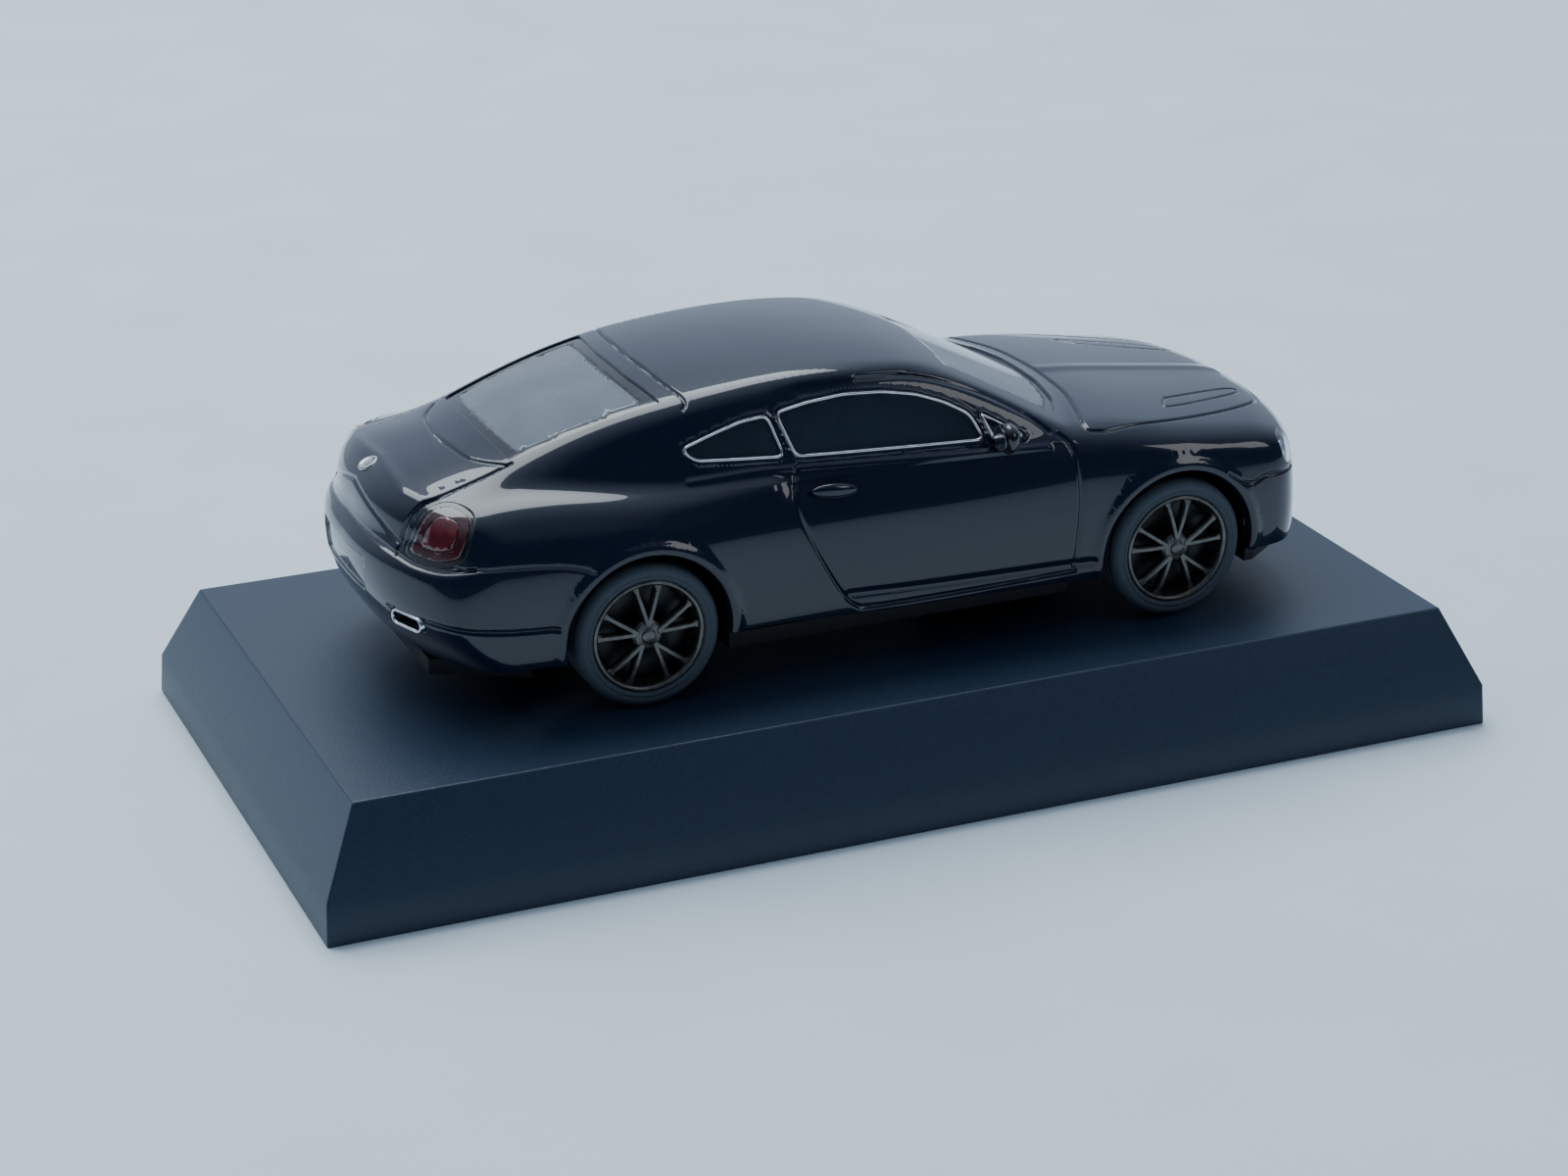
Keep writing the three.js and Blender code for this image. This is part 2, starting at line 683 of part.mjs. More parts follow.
/** A lathe's solid, turned the right way out whichever way its profile runs. */
function solidFacingOut(geometry) {
  const bare = geometry.clone();
  bare.deleteAttribute("normal");
  bare.deleteAttribute("uv");
  const merged = mergeVertices(bare, 1e-4);
  const index = Array.from(merged.index.array);
  const kept = [];
  for (let i = 0; i < index.length; i += 3) {
    const [a, b, c] = index.slice(i, i + 3);
    if (a !== b && b !== c && c !== a) {
      kept.push(a, b, c);
    }
  }
  const position = merged.attributes.position;
  const corner = (k) => new THREE.Vector3().fromBufferAttribute(position, k);
  let volume = 0;
  for (let i = 0; i < kept.length; i += 3) {
    volume += corner(kept[i]).dot(corner(kept[i + 1]).cross(corner(kept[i + 2])));
  }
  if (volume < 0) {
    kept.reverse();
  }
  return solidFromTriangles(position.array, kept);
}

/** A seat seen from the side, in x and z: cushion, raked back and head restraint. */
function seat(x, y, width) {
  const side = [
    [x - 1.2, 6.4],
    [x + 5.0, 6.4],
    [x + 5.6, 7.4],
    [x + 5.2, 9.3],
    [x + 1.6, 8.9],
    [x - 0.9, 15.4],
    [x - 1.2, 17.0],
    [x - 2.0, 17.2],
    [x - 2.6, 16.8],
    [x - 2.4, 14.8],
    [x - 1.6, 9.0],
  ];
  return crossPrism(side, y - width / 2, y + width / 2);
}

function interiorTub() {
  const plan = [
    [-15.2, -9.2],
    [-11.4, -9.2],
    [-11.4, -11.7],
    [15.6, -11.7],
    [15.6, 11.7],
    [-11.4, 11.7],
    [-11.4, 9.2],
    [-15.2, 9.2],
  ];
  const room = [
    [-14.4, -8.4],
    [-10.6, -8.4],
    [-10.6, -10.9],
    [14.8, -10.9],
    [14.8, 10.9],
    [-10.6, 10.9],
    [-10.6, 8.4],
    [-14.4, 8.4],
  ];
  const dashboard = [
    [11.4, 11.6],
    [12.2, 13.6],
    [15.2, 14.4],
    [15.2, 6.4],
    [12.8, 6.4],
    [12.6, 10.6],
  ];
  const tub = cut(uprightPrism(plan, 5.8, 14.2), uprightPrism(room, 6.6, 20));
  const benchOutline = [[-13.9, 6.4], [-7.2, 6.4], [-6.8, 9.6], [-11.4, 9.9], [-13.4, 15.6], [-14.6, 15.4]];
  const rearBench = crossPrism(benchOutline, -7.6, 7.6);
  const console = box(-6, 13, -1.1, 1.1, 6.4, 9.4);
  return joined(
    tub,
    seat(0.6, -5.3, 5.4),
    seat(0.6, 5.3, 5.4),
    rearBench,
    console,
    crossPrism(dashboard, -11.0, 11.0),
  );
}

const WHEEL_HUB = { x: 9.3, y: -5.3, z: 13.6, tilt: 68 };

function steeringWheel() {
  const rim = new THREE.TorusGeometry(1.75, 0.24, 6, 18);
  const hub = new THREE.CylinderGeometry(0.55, 0.55, 0.5, 10);
  hub.rotateX(Math.PI / 2);
  const spoke = (angle) => {
    const bar = new THREE.BoxGeometry(1.5, 0.36, 0.22);
    bar.translate(0.95, 0, 0);
    bar.rotateZ(THREE.MathUtils.degToRad(angle));
    return bar;
  };
  const column = new THREE.CylinderGeometry(0.34, 0.34, 1.6, 8);
  column.rotateX(Math.PI / 2);
  column.translate(0, 0, 0.9);
  const pieces = [rim, hub, spoke(0), spoke(180), spoke(-90), column].map((geometry) => {
    geometry.rotateZ(Math.PI / 2);
    geometry.rotateY(THREE.MathUtils.degToRad(WHEEL_HUB.tilt));
    geometry.translate(WHEEL_HUB.x, WHEEL_HUB.y, WHEEL_HUB.z);
    return solid(geometry);
  });
  return joined(...pieces);
}

/** A door mirror: a rounded housing on a short foot. */
function mirror(side) {
  const housing = new THREE.SphereGeometry(1, 14, 8);
  housing.scale(0.95, 1.35, 1.15);
  housing.rotateZ(THREE.MathUtils.degToRad(-12 * side));
  housing.translate(8.9, 14.55 * side, 16.6);
  const glassCut = box(7.0, 8.25, Math.min(12 * side, 17 * side), Math.max(12 * side, 17 * side), 15, 19);
  const foot = new THREE.CylinderGeometry(0.5, 0.7, 2.0, 8);
  foot.rotateX(THREE.MathUtils.degToRad(-52 * side));
  foot.translate(9.5, 13.75 * side, 15.9);
  const arm = cut(solid(foot), lensFace, paneFace);
  return cut(joined(cut(solid(housing), glassCut), arm), bodyClearance);
}

const bodyClearance = bodySolid(-0.08, FINE_SIDE_STEPS, FINE_FAN_STEPS, FINE_TILTS);

function exhaustTrim(side) {
  const ring = exhaustOval(side, EXHAUST.halfWidth, EXHAUST.halfHeight, -1.0, 0.9);
  return cut(ring, exhaustOval(side, EXHAUST.halfWidth - 0.3, EXHAUST.halfHeight - 0.3, -2, 0.3));
}

/** A plain oval badge standing off the boot's rear face. */
function bootBadge() {
  const badge = plug([-35.6, 0, 15.5], [-0.93, 0, 0.36], 1.15, 0.55, 1.2, 20);
  return cut(badge.intersect(bodySolid(-0.3, FINE_SIDE_STEPS, FINE_FAN_STEPS, FINE_TILTS)), bodyClearance);
}

// ---------------------------------------------------------------- wheels

/** A ring turned about the axle: profile points are radius and distance across. */
function wheelRing(points, x, sides) {
  const profile = [...points, points[0]].map(([radius, y]) => new THREE.Vector2(radius, y));
  const geometry = new THREE.LatheGeometry(profile, sides);
  geometry.translate(x, 0, AXLE_Z);
  return solidFacingOut(geometry);
}

function across(side, inward) {
  return side * (WHEEL_OUTER_Y - inward);
}

function tyre(x, side) {
  const bead = RIM_RADIUS + 0.05;
  const section = [
    [bead, 0.25],
    [4.75, 0.0],
    [5.2, 0.18],
    [TYRE_RADIUS, 0.75],
    [TYRE_RADIUS, TYRE_WIDTH - 0.75],
    [5.2, TYRE_WIDTH - 0.18],
    [4.75, TYRE_WIDTH],
    [bead, TYRE_WIDTH - 0.25],
  ];
  return wheelRing(section.map(([radius, inward]) => [radius, across(side, inward)]), x, 28);
}

const SPOKE_PAIRS = 5;
const HUB_RADIUS = 1.15;

function rim(x, side) {
  const barrel = [
    [RIM_RADIUS, 0.3],
    [RIM_RADIUS, 3.9],
    [RIM_RADIUS - 0.45, 3.9],
    [RIM_RADIUS - 0.45, 0.75],
    [RIM_RADIUS - 0.35, 0.3],
  ];
  const ring = wheelRing(barrel.map(([radius, inward]) => [radius, across(side, inward)]), x, 24);
  const hub = crossCylinder(HUB_RADIUS, x, Math.min(across(side, 0.55), across(side, 3.6)),
    Math.max(across(side, 0.55), across(side, 3.6)), AXLE_Z, 14);
  const cap = crossCylinder(0.6, x, Math.min(across(side, 0.4), across(side, 0.8)),
    Math.max(across(side, 0.4), across(side, 0.8)), AXLE_Z, 10);
  const spokes = [];
  for (let i = 0; i < SPOKE_PAIRS; i++) {
    for (const lean of [-1, 1]) {
      const bar = new THREE.BoxGeometry(0.42, 0.8, RIM_RADIUS - 0.2 - 0.7);
      bar.translate(0, 0, (RIM_RADIUS - 0.2 + 0.7) / 2);
      bar.rotateY(THREE.MathUtils.degToRad(7 * lean));
      bar.translate(0.35 * lean, 0, 0);
      bar.rotateY((2 * Math.PI * i) / SPOKE_PAIRS);
      bar.translate(x, across(side, 1.0), AXLE_Z);
      spokes.push(solid(bar));
    }
  }
  const bore = crossCylinder(AXLE_RADIUS + 0.02, x, Math.min(across(side, 1.6), across(side, 6)),
    Math.max(across(side, 1.6), across(side, 6)), AXLE_Z, 16);
  return cut(joined(ring, hub, cap, ...spokes), bore);
}

function axle(x) {
  const half = WHEEL_OUTER_Y - 1.7;
  return crossCylinder(AXLE_RADIUS, x, -half, half, AXLE_Z, 16);
}

// ---------------------------------------------------------------- display base

/** A frustum with its lower face at z0 and its upper at z1, each a rectangle about the origin. */
function frustum(length0, width0, z0, length1, width1, z1) {
  const corners = [];
  for (const [length, width, z] of [[length0, width0, z0], [length1, width1, z1]]) {
    for (const [a, b] of [[-1, -1], [1, -1], [1, 1], [-1, 1]]) {
      corners.push((a * length) / 2, (b * width) / 2, z);
    }
  }
  const faces = [
    [0, 2, 1], [0, 3, 2],
    [4, 5, 6], [4, 6, 7],
    [0, 1, 5], [0, 5, 4],
    [1, 2, 6], [1, 6, 5],
    [2, 3, 7], [2, 7, 6],
    [3, 0, 4], [3, 4, 7],
  ];
  return solidFromTriangles(corners, faces.flat());
}

function displayBase() {
  const rimLength = BASE_LENGTH - 2 * BASE_RIM_DRAFT;
  const rimWidth = BASE_WIDTH - 2 * BASE_RIM_DRAFT;
  const plinth = joined(
    frustum(BASE_LENGTH, BASE_WIDTH, 0, rimLength, rimWidth, BASE_RIM_HEIGHT),
    frustum(rimLength, rimWidth, BASE_RIM_HEIGHT, BASE_TOP_LENGTH, BASE_TOP_WIDTH, BASE_HEIGHT),
  );
  const wall = 2 * BASE_WALL;
  const ceiling = BASE_HEIGHT - BASE_ROOF;
  const hollow = joined(
    frustum(BASE_LENGTH - wall, BASE_WIDTH - wall, -1, rimLength - wall, rimWidth - wall, BASE_RIM_HEIGHT),
    frustum(
      rimLength - wall,
      rimWidth - wall,
      BASE_RIM_HEIGHT,
      BASE_TOP_LENGTH - wall,
      BASE_TOP_WIDTH - wall,
      ceiling,
    ),
  );
  const screws = [BASE_SCREW_X, -BASE_SCREW_X];
  const bosses = screws.map((x) => uprightCylinder(3.6, x, 0, 1.2, ceiling + 0.2, 18));
  const standoffs = screws.map((x) =>
    uprightCylinder(STANDOFF_RADIUS, x, 0, BASE_HEIGHT - 0.2, BASE_HEIGHT + STANDOFF_HEIGHT, 18),
  );
  const holes = screws.flatMap((x) => [
    uprightCylinder(1.15, x, 0, -1, 20, 12),
    uprightCylinder(2.4, x, 0, -1, 4.0, 16),
  ]);
  return cut(joined(cut(plinth, hollow), ...bosses, ...standoffs), ...holes);
}

// ---------------------------------------------------------------- assembly

const MATERIALS = {
  base: { color: 0x15181d, roughness: 0.5, metalness: 0 },
  screw: { color: 0x8a8d90, roughness: 0.35, metalness: 1 },
  paint: { color: 0x05070a, roughness: 0.12, metalness: 0 },
  chassis: { color: 0x101114, roughness: 0.6, metalness: 0 },
  cabin: { color: 0x17181b, roughness: 0.7, metalness: 0 },
  glass: { color: 0xb8c4cc, roughness: 0.05, metalness: 0, transparent: true, opacity: 0.35 },
  tailLamp: { color: 0x4a0910, roughness: 0.1, metalness: 0 },
  grille: { color: 0x0b0c0e, roughness: 0.5, metalness: 0.2 },
  chrome: { color: 0xc8ccd0, roughness: 0.15, metalness: 1 },
  rim: { color: 0x3c3f42, roughness: 0.4, metalness: 0.8 },
  tyre: { color: 0x0c0d0e, roughness: 0.85, metalness: 0 },
  axle: { color: 0x9a9da0, roughness: 0.35, metalness: 1 },
};

function named(name, shape, look) {
  const { vertProperties, triVerts } = shape.getMesh();
  const geometry = new THREE.BufferGeometry();
  geometry.setAttribute("position", new THREE.Float32BufferAttribute(vertProperties, 3));
  geometry.setIndex(Array.from(triVerts));
  geometry.computeVertexNormals();
  const mesh = new THREE.Mesh(geometry, new THREE.MeshStandardMaterial(MATERIALS[look]));
  mesh.name = name;
  return mesh;
}

const SIDES = { left: 1, right: -1 };
const AXLES = { front: FRONT_AXLE_X, rear: REAR_AXLE_X };

function car() {
  const group = new THREE.Group();
  group.position.z = BASE_HEIGHT;
  group.add(
    named("chassis_plate", chassisPlate(), "chassis"),
    named("chassis_screw_front", chassisScrew(CHASSIS_SCREWS_X.front), "screw"),
    named("chassis_screw_rear", chassisScrew(CHASSIS_SCREWS_X.rear), "screw"),
    named("body_shell", bodyShell(), "paint"),
    named("glazing", glazing(), "glass"),
    named("interior_tub", interiorTub(), "cabin"),
    named("steering_wheel", steeringWheel(), "cabin"),
    named("main_grille", grilleInsert(MAIN_GRILLE, 35.2, 0.9, 5, 3), "grille"),
    named("lower_grille", grilleInsert(LOWER_GRILLE, 34.9, 0.8, 7, 1), "grille"),
    named("front_splitter", frontSplitter(), "chassis"),
    named("boot_badge", bootBadge(), "chrome"),
  );
  for (const [word, side] of Object.entries(SIDES)) {
    group.add(
      named(`tail_lamp_${word}`, lampLens(TAIL_LAMP, side), "tailLamp"),
      named(`headlamp_outer_${word}`, lampLens(OUTER_HEADLAMP, side), "glass"),
      named(`headlamp_inner_${word}`, lampLens(INNER_HEADLAMP, side), "glass"),
      named(`door_mirror_${word}`, mirror(side), "paint"),
      named(`exhaust_trim_${word}`, exhaustTrim(side), "chrome"),
    );
  }
  for (const [end, x] of Object.entries(AXLES)) {
    group.add(named(`${end}_axle`, axle(x), "axle"));
    for (const [word, side] of Object.entries(SIDES)) {
      group.add(
        named(`${end}_rim_${word}`, rim(x, side), "rim"),
        named(`${end}_tyre_${word}`, tyre(x, side), "tyre"),
      );
    }
  }
  return group;
}

function baseAssembly() {
  const group = new THREE.Group();
  group.add(
    named("display_base", displayBase(), "base"),
    named("base_screw_front", baseScrew(BASE_SCREW_X), "screw"),
    named("base_screw_rear", baseScrew(-BASE_SCREW_X), "screw"),
  );
  return group;
}

const model = new THREE.Group();
model.add(baseAssembly(), car());

export default model;
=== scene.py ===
"""Die-cast coupe on a display base: surfaces, materials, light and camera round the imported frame."""
import math

import bmesh
import bpy
import numpy as np
from mathutils import Matrix, Vector


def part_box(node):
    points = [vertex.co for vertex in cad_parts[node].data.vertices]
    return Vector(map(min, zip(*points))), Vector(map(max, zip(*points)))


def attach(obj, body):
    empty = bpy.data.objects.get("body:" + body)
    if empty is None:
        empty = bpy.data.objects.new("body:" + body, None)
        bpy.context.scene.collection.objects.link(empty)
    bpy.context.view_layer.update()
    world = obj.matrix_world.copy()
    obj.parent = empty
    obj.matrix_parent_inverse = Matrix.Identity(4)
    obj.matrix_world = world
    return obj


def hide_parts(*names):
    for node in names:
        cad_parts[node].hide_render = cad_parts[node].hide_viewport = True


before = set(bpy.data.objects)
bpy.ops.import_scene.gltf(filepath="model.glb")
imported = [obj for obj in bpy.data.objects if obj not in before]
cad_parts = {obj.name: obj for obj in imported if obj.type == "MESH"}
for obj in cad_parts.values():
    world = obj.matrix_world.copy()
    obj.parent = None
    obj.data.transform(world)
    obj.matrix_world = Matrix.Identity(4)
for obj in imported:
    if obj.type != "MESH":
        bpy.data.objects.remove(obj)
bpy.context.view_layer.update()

MM = 0.001
CAR = "display_car"
FRONT = "front_wheelset"
REAR = "rear_wheelset"


def middle(node):
    low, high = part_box(node)
    return [(low[i] + high[i]) / 2 / MM for i in range(3)]


def reach(node):
    low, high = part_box(node)
    return [(high[i] - low[i]) / MM for i in range(3)]


# The car's own frame has its ground on the base's top; the tyres clear it by a hair.
TYRE_RADIUS = reach("front_tyre_right")[2] / 2
AXLE_HEIGHT = 5.52
GROUND = middle("front_tyre_right")[2] - AXLE_HEIGHT
FRONT_AXLE_X = middle("front_tyre_right")[0]
REAR_AXLE_X = middle("rear_tyre_right")[0]
ARCH_RADIUS = 6.4
RIM_RADIUS = 4.25

# --- smooth curves


def second_derivatives(knots):
    """The matrix that turns knot values into a natural spline's second derivatives there."""
    count = len(knots)
    left = np.eye(count)
    right = np.zeros((count, count))
    gap = np.diff(knots)
    for i in range(1, count - 1):
        left[i, i - 1:i + 2] = gap[i - 1], 2 * (gap[i - 1] + gap[i]), gap[i]
        right[i, i - 1] = 6 / gap[i - 1]
        right[i, i] = -6 / gap[i - 1] - 6 / gap[i]
        right[i, i + 1] = 6 / gap[i]
    return np.linalg.solve(left, right)


class Spline:
    """A natural cubic spline, held flat past its ends; the values may be rows."""

    def __init__(self, knots, values):
        self.knots = np.array(knots, float)
        self.values = np.array(values, float)
        self.bends = second_derivatives(self.knots) @ self.values

    def __call__(self, x):
        knots = self.knots
        x = np.clip(np.asarray(x, float), knots[0], knots[-1])
        i = np.clip(np.searchsorted(knots, x) - 1, 0, len(knots) - 2)
        span = knots[i + 1] - knots[i]
        a = (knots[i + 1] - x) / span
        b = 1 - a
        if self.values.ndim == 2:
            a, b, span = a[..., None], b[..., None], span[..., None]
        bend = (a**3 - a) * self.bends[i] + (b**3 - b) * self.bends[i + 1]
        return a * self.values[i] + b * self.values[i + 1] + bend * span * span / 6


class Sheet:
    """Half-widths at stations along x (rows) and heights z (columns)."""

    def __init__(self, stations, heights, rows):
        self.rows = Spline(stations, rows)
        self.columns = Spline(heights, np.eye(len(heights)))

    def __call__(self, x, z):
        return (self.rows(x) * self.columns(z)).sum(-1)


def smooth_max(a, b, blend):
    near = np.maximum(blend - np.abs(a - b), 0) / blend
    return np.maximum(a, b) + near**3 * blend / 6


def smooth_min(a, b, blend):
    return -smooth_max(-a, -b, blend)


# --- body surface

SIDE = Sheet(
    [-37.5, -33, -27, -19.1, -10, 0, 10, 18, 23.8, 30, 34, 37.5],
    [1.5, 4, 7, 10, 12.5, 14.5, 16, 18],
    [
        [11.0, 12.4, 12.6, 12.6, 12.3, 11.6, 10.4, 8.5],
        [12.2, 13.6, 13.9, 13.9, 13.5, 12.7, 11.3, 9.0],
        [13.0, 14.2, 14.5, 14.6, 14.2, 13.3, 11.8, 9.3],
        [13.2, 14.5, 14.85, 14.95, 14.6, 13.7, 12.4, 10.2],
        [12.9, 14.1, 14.4, 14.4, 14.05, 13.3, 12.5, 11.3],
        [12.9, 13.9, 14.2, 14.15, 13.8, 13.1, 12.5, 11.5],
        [12.9, 13.9, 14.2, 14.15, 13.8, 13.15, 12.5, 11.6],
        [13.0, 14.1, 14.4, 14.4, 14.1, 13.4, 12.4, 11.0],
        [13.2, 14.4, 14.75, 14.8, 14.4, 13.6, 12.2, 10.0],
        [12.8, 14.1, 14.45, 14.4, 13.9, 12.9, 11.3, 9.0],
        [12.4, 13.7, 14.1, 14.0, 13.5, 12.5, 11.0, 9.0],
        [11.4, 12.7, 13.1, 13.0, 12.4, 11.4, 10.0, 8.0],
    ],
)
TOP = Spline(
    [-37.5, -35.5, -33, -30, -27, -19, -10, 0, 10, 17.5, 24, 30, 34, 37],
    [15.5, 16.2, 16.8, 17.4, 17.75, 17.3, 16.3, 15.7, 15.7, 16.2, 15.65, 14.85, 14.25, 13.6],
)
TOP_DROP = Spline(
    [-37.5, -33, -27, -19, -10, 0, 17, 24, 30, 37],
    [1.6, 1.9, 2.3, 2.0, 0.9, 0.3, 0.6, 0.8, 0.9, 1.1],
)
NOSE = Spline(
    [1.5, 3, 4.5, 6, 9, 11, 12.5, 14, 16],
    [35.6, 36.6, 37.3, 37.5, 37.4, 37.15, 36.7, 35.6, 33],
)
TAIL = Spline(
    [1.5, 3.5, 5.2, 7, 9, 10.8, 11.8, 12.6, 14, 16, 17, 18],
    [-31, -33.8, -35.6, -36.8, -37.4, -37.5, -37.3, -36.8, -36.5, -36.1, -35.6, -34.6],
)
GLASS_SIDE = Sheet(
    [-27, -20, -14.6, -8, 0, 8, 16],
    [15, 17, 19, 21],
    [
        [10.6, 9.3, 8.2, 7.4],
        [11.8, 10.7, 9.7, 8.8],
        [12.4, 11.5, 10.6, 9.8],
        [12.7, 11.8, 10.85, 10.0],
        [12.8, 11.9, 10.9, 10.0],
        [12.8, 11.8, 10.7, 9.6],
        [12.7, 11.6, 10.4, 9.2],
    ],
)
ROOF = Spline(
    [-34, -27, -20, -14.6, -8, -2, 3, 8, 12],
    [15.5, 18.3, 20.6, 21.65, 22.3, 22.4, 22.0, 21.0, 19.7],
)
ROOF_DROP = Spline([-27, -20, -14.6, -8, 0, 8], [1.1, 0.9, 0.75, 0.65, 0.65, 0.7])


def lower_body(x, y, z):
    """Sides, bonnet and boot, nose and tail; negative inside."""
    out = np.abs(y)
    crown = TOP(x) - TOP_DROP(x) * (out / 12) ** 2.4
    tail_curve = (0.0055 + 0.0005 * np.maximum(z - 8, 0)) * out**2.5
    field = smooth_max(out - SIDE(x, z), z - crown, 2.2)
    field = smooth_max(field, x - NOSE(z) + 0.0036 * out**2.6, 2.6)
    return smooth_max(field, TAIL(z) + tail_curve - x, 2.2)


def cabin(x, y, z):
    """Side glass, roof running down to the boot, and windscreen; negative inside."""
    out = np.abs(y)
    crown = ROOF(x) - ROOF_DROP(x) * (out / 10) ** 2.2
    rise, run = 5.2, 10.9
    screen = ((x - 17.9 + 0.0252 * out * out) * rise + (z - 16.1) * run) / math.hypot(rise, run)
    upper = smooth_max(out - GLASS_SIDE(x, z), z - crown, 2.0)
    ends = np.maximum(-32.5 - x, x - 19)
    return smooth_max(smooth_max(upper, screen, 1.2), ends, 2.0)


def body_field(points):
    x, y, z = points[..., 0], points[..., 1], points[..., 2]
    return smooth_min(lower_body(x, y, z), cabin(x, y, z), 0.9)


def body_normals(points):
    step = 0.02
    normals = np.zeros_like(points)
    for axis in range(3):
        shift = np.zeros(3)
        shift[axis] = step
        normals[:, axis] = body_field(points + shift) - body_field(points - shift)
    return normals / np.linalg.norm(normals, axis=1, keepdims=True)


def settle(points, rounds=3):
    """Moves points that are near the surface on to it."""
    for _ in range(rounds):
        points = points - body_normals(points) * body_field(points)[:, None]
    return points


# --- outlines on the body


def smooth_path(points, closed=False, steps=8):
    """Catmull-Rom through given points."""
    p = np.array(points, float)
    count = len(p)
    out = []
    for i in range(count if closed else count - 1):
        if closed:
            a, b, c, d = (p[(i + k) % count] for k in (-1, 0, 1, 2))
        else:
            a, b, c, d = (p[min(max(i + k, 0), count - 1)] for k in (-1, 0, 1, 2))
        for t in np.arange(steps) / steps:
            out.append(0.5 * (2 * b + (c - a) * t + (2 * a - 5 * b + 4 * c - d) * t * t
                              + (3 * b - a - 3 * c + d) * t**3))
    if not closed:
        out.append(p[-1])
    return np.array(out)


def rounded(points, radius, steps=5):
    """A closed polygon with its corners rounded."""
    p = np.array(points, float)
    out = []
    for i, corner in enumerate(p):
        before, after = p[i - 1] - corner, p[(i + 1) % len(p)] - corner
        cut = min(radius, 0.45 * np.linalg.norm(before), 0.45 * np.linalg.norm(after))
        a = corner + before / np.linalg.norm(before) * cut
        b = corner + after / np.linalg.norm(after) * cut
        for t in np.linspace(0, 1, steps):
            out.append((1 - t) ** 2 * a + 2 * t * (1 - t) * corner + t * t * b)
    return np.array(out)


def distance_to(path, points, closed=False):
    """Distance of each point to a polyline, in its plane."""
    ends = np.roll(path, -1, axis=0) if closed else path[1:]
    starts = path if closed else path[:-1]
    best = np.full(len(points), 1e9)
    for a, b in zip(starts, ends):
        along = b - a
        size = max(along @ along, 1e-12)
        t = np.clip(((points - a) @ along) / size, 0, 1)
        best = np.minimum(best, np.linalg.norm(points - a - t[:, None] * along, axis=1))
    return best


def inside_of(path, points):
    """Whether each point is inside a closed polyline."""
    inside = np.zeros(len(points), bool)
    x, y = points[:, 0], points[:, 1]
    for (ax, ay), (bx, by) in zip(path, np.roll(path, -1, axis=0)):
        if ay == by:
            continue
        crosses = (ay > y) != (by > y)
        inside ^= crosses & (x < (bx - ax) * (y - ay) / (by - ay) + ax)
    return inside


def signed_distance(path, points):
    """Negative inside a closed polyline."""
    distance = distance_to(path, points, closed=True)
    return np.where(inside_of(path, points), -distance, distance)


def from_side(p):
    return p[:, [0, 2]]


def from_above(p):
    return np.stack([p[:, 0], np.abs(p[:, 1])], 1)


def from_end(p):
    return np.stack([np.abs(p[:, 1]), p[:, 2]], 1)


def on_side(p):
    return np.abs(p[:, 1]) > 7.5


def on_top(p):
    return p[:, 2] > 13.2


def on_front_top(p):
    return on_top(p) & (p[:, 0] > 0)


def on_rear_top(p):
    return on_top(p) & (p[:, 0] < 0)


def on_tail(p):
    return p[:, 0] < -31.5


def on_nose(p):
    return p[:, 0] > 31.5


FAR = 50.0

# Side windows in x and z, then the windscreen and rear window in x and |y|.
DOOR_GLASS = rounded([(-6.7, 16.6), (8.2, 15.9), (7.4, 17.7), (5.6, 18.7), (3.4, 19.5), (0.8, 20.0),
                      (-2.2, 20.2), (-5.2, 20.0), (-7.7, 19.6)], 0.5)
QUARTER_GLASS = rounded([(-14.3, 17.15), (-7.6, 16.7), (-8.4, 19.5), (-10.4, 19.35), (-12.6, 18.8),
                         (-15.2, 18.0)], 0.5)
FRONT_TRIANGLE = rounded([(9.0, 15.9), (11.5, 15.75), (8.3, 17.6)], 0.25)
WINDSCREEN = rounded([(17.35, -9), (17.35, 3.0), (16.7, 7.0), (15.4, 9.9), (11.2, 8.9), (6.8, 7.8),
                      (7.2, 4.0), (7.3, -9)], 0.6)
REAR_WINDOW = rounded([(-16.35, -9), (-16.3, 3.0), (-15.7, 8.7), (-21.0, 8.3), (-26.9, 7.7),
                       (-27.3, 3.0), (-27.4, -9)], 0.5)
CLEAR_REAR = rounded([(-17.4, -9), (-17.3, 3.0), (-16.9, 7.6), (-21.0, 7.4), (-26.1, 6.9),
                      (-26.5, 3.0), (-26.6, -9)], 0.7)
CLEAR_FRONT = rounded([(16.8, -9), (16.8, 3.0), (16.1, 6.6), (15.0, 9.1), (11.2, 8.3), (7.5, 7.2),
                       (7.9, 4.0), (8.0, -9)], 0.6)
MAIN_GRILLE = rounded([(-9, 8.9), (4.6, 8.9), (4.6, 12.6), (-9, 12.6)], 1.2)
LOWER_GRILLE = rounded([(-9, 5.1), (7.4, 5.1), (7.4, 7.2), (-9, 7.2)], 0.8)
PLATE = rounded([(-9, 8.5), (4.6, 8.5), (4.9, 11.0), (-9, 11.0)], 0.3)
EXHAUST = {"y": 9.6, "z": 7.7, "half_width": 1.65, "half_height": 0.5}
BELOW = smooth_path([(-45, 4.5), (-27, 4.5), (-12, 4.9), (0, 4.45), (18, 4.2), (28, 4.5), (45, 4.5)])

# Lamps: centre with y on the left side, facing direction and half-sizes.
LAMP_REACH = 3.0
TAIL_LAMP = {"centre": (-33.3, 11.2, 13.8), "facing": (-0.62, 0.7, 0.36), "across": 2.25, "up": 1.85}
OUTER_LAMP = {"centre": (33.4, 12.3, 11.8), "facing": (0.72, 0.68, 0.12), "across": 1.3, "up": 1.35}
INNER_LAMP = {"centre": (35.9, 8.4, 11.4), "facing": (0.96, 0.24, 0.14), "across": 1.9, "up": 1.8}


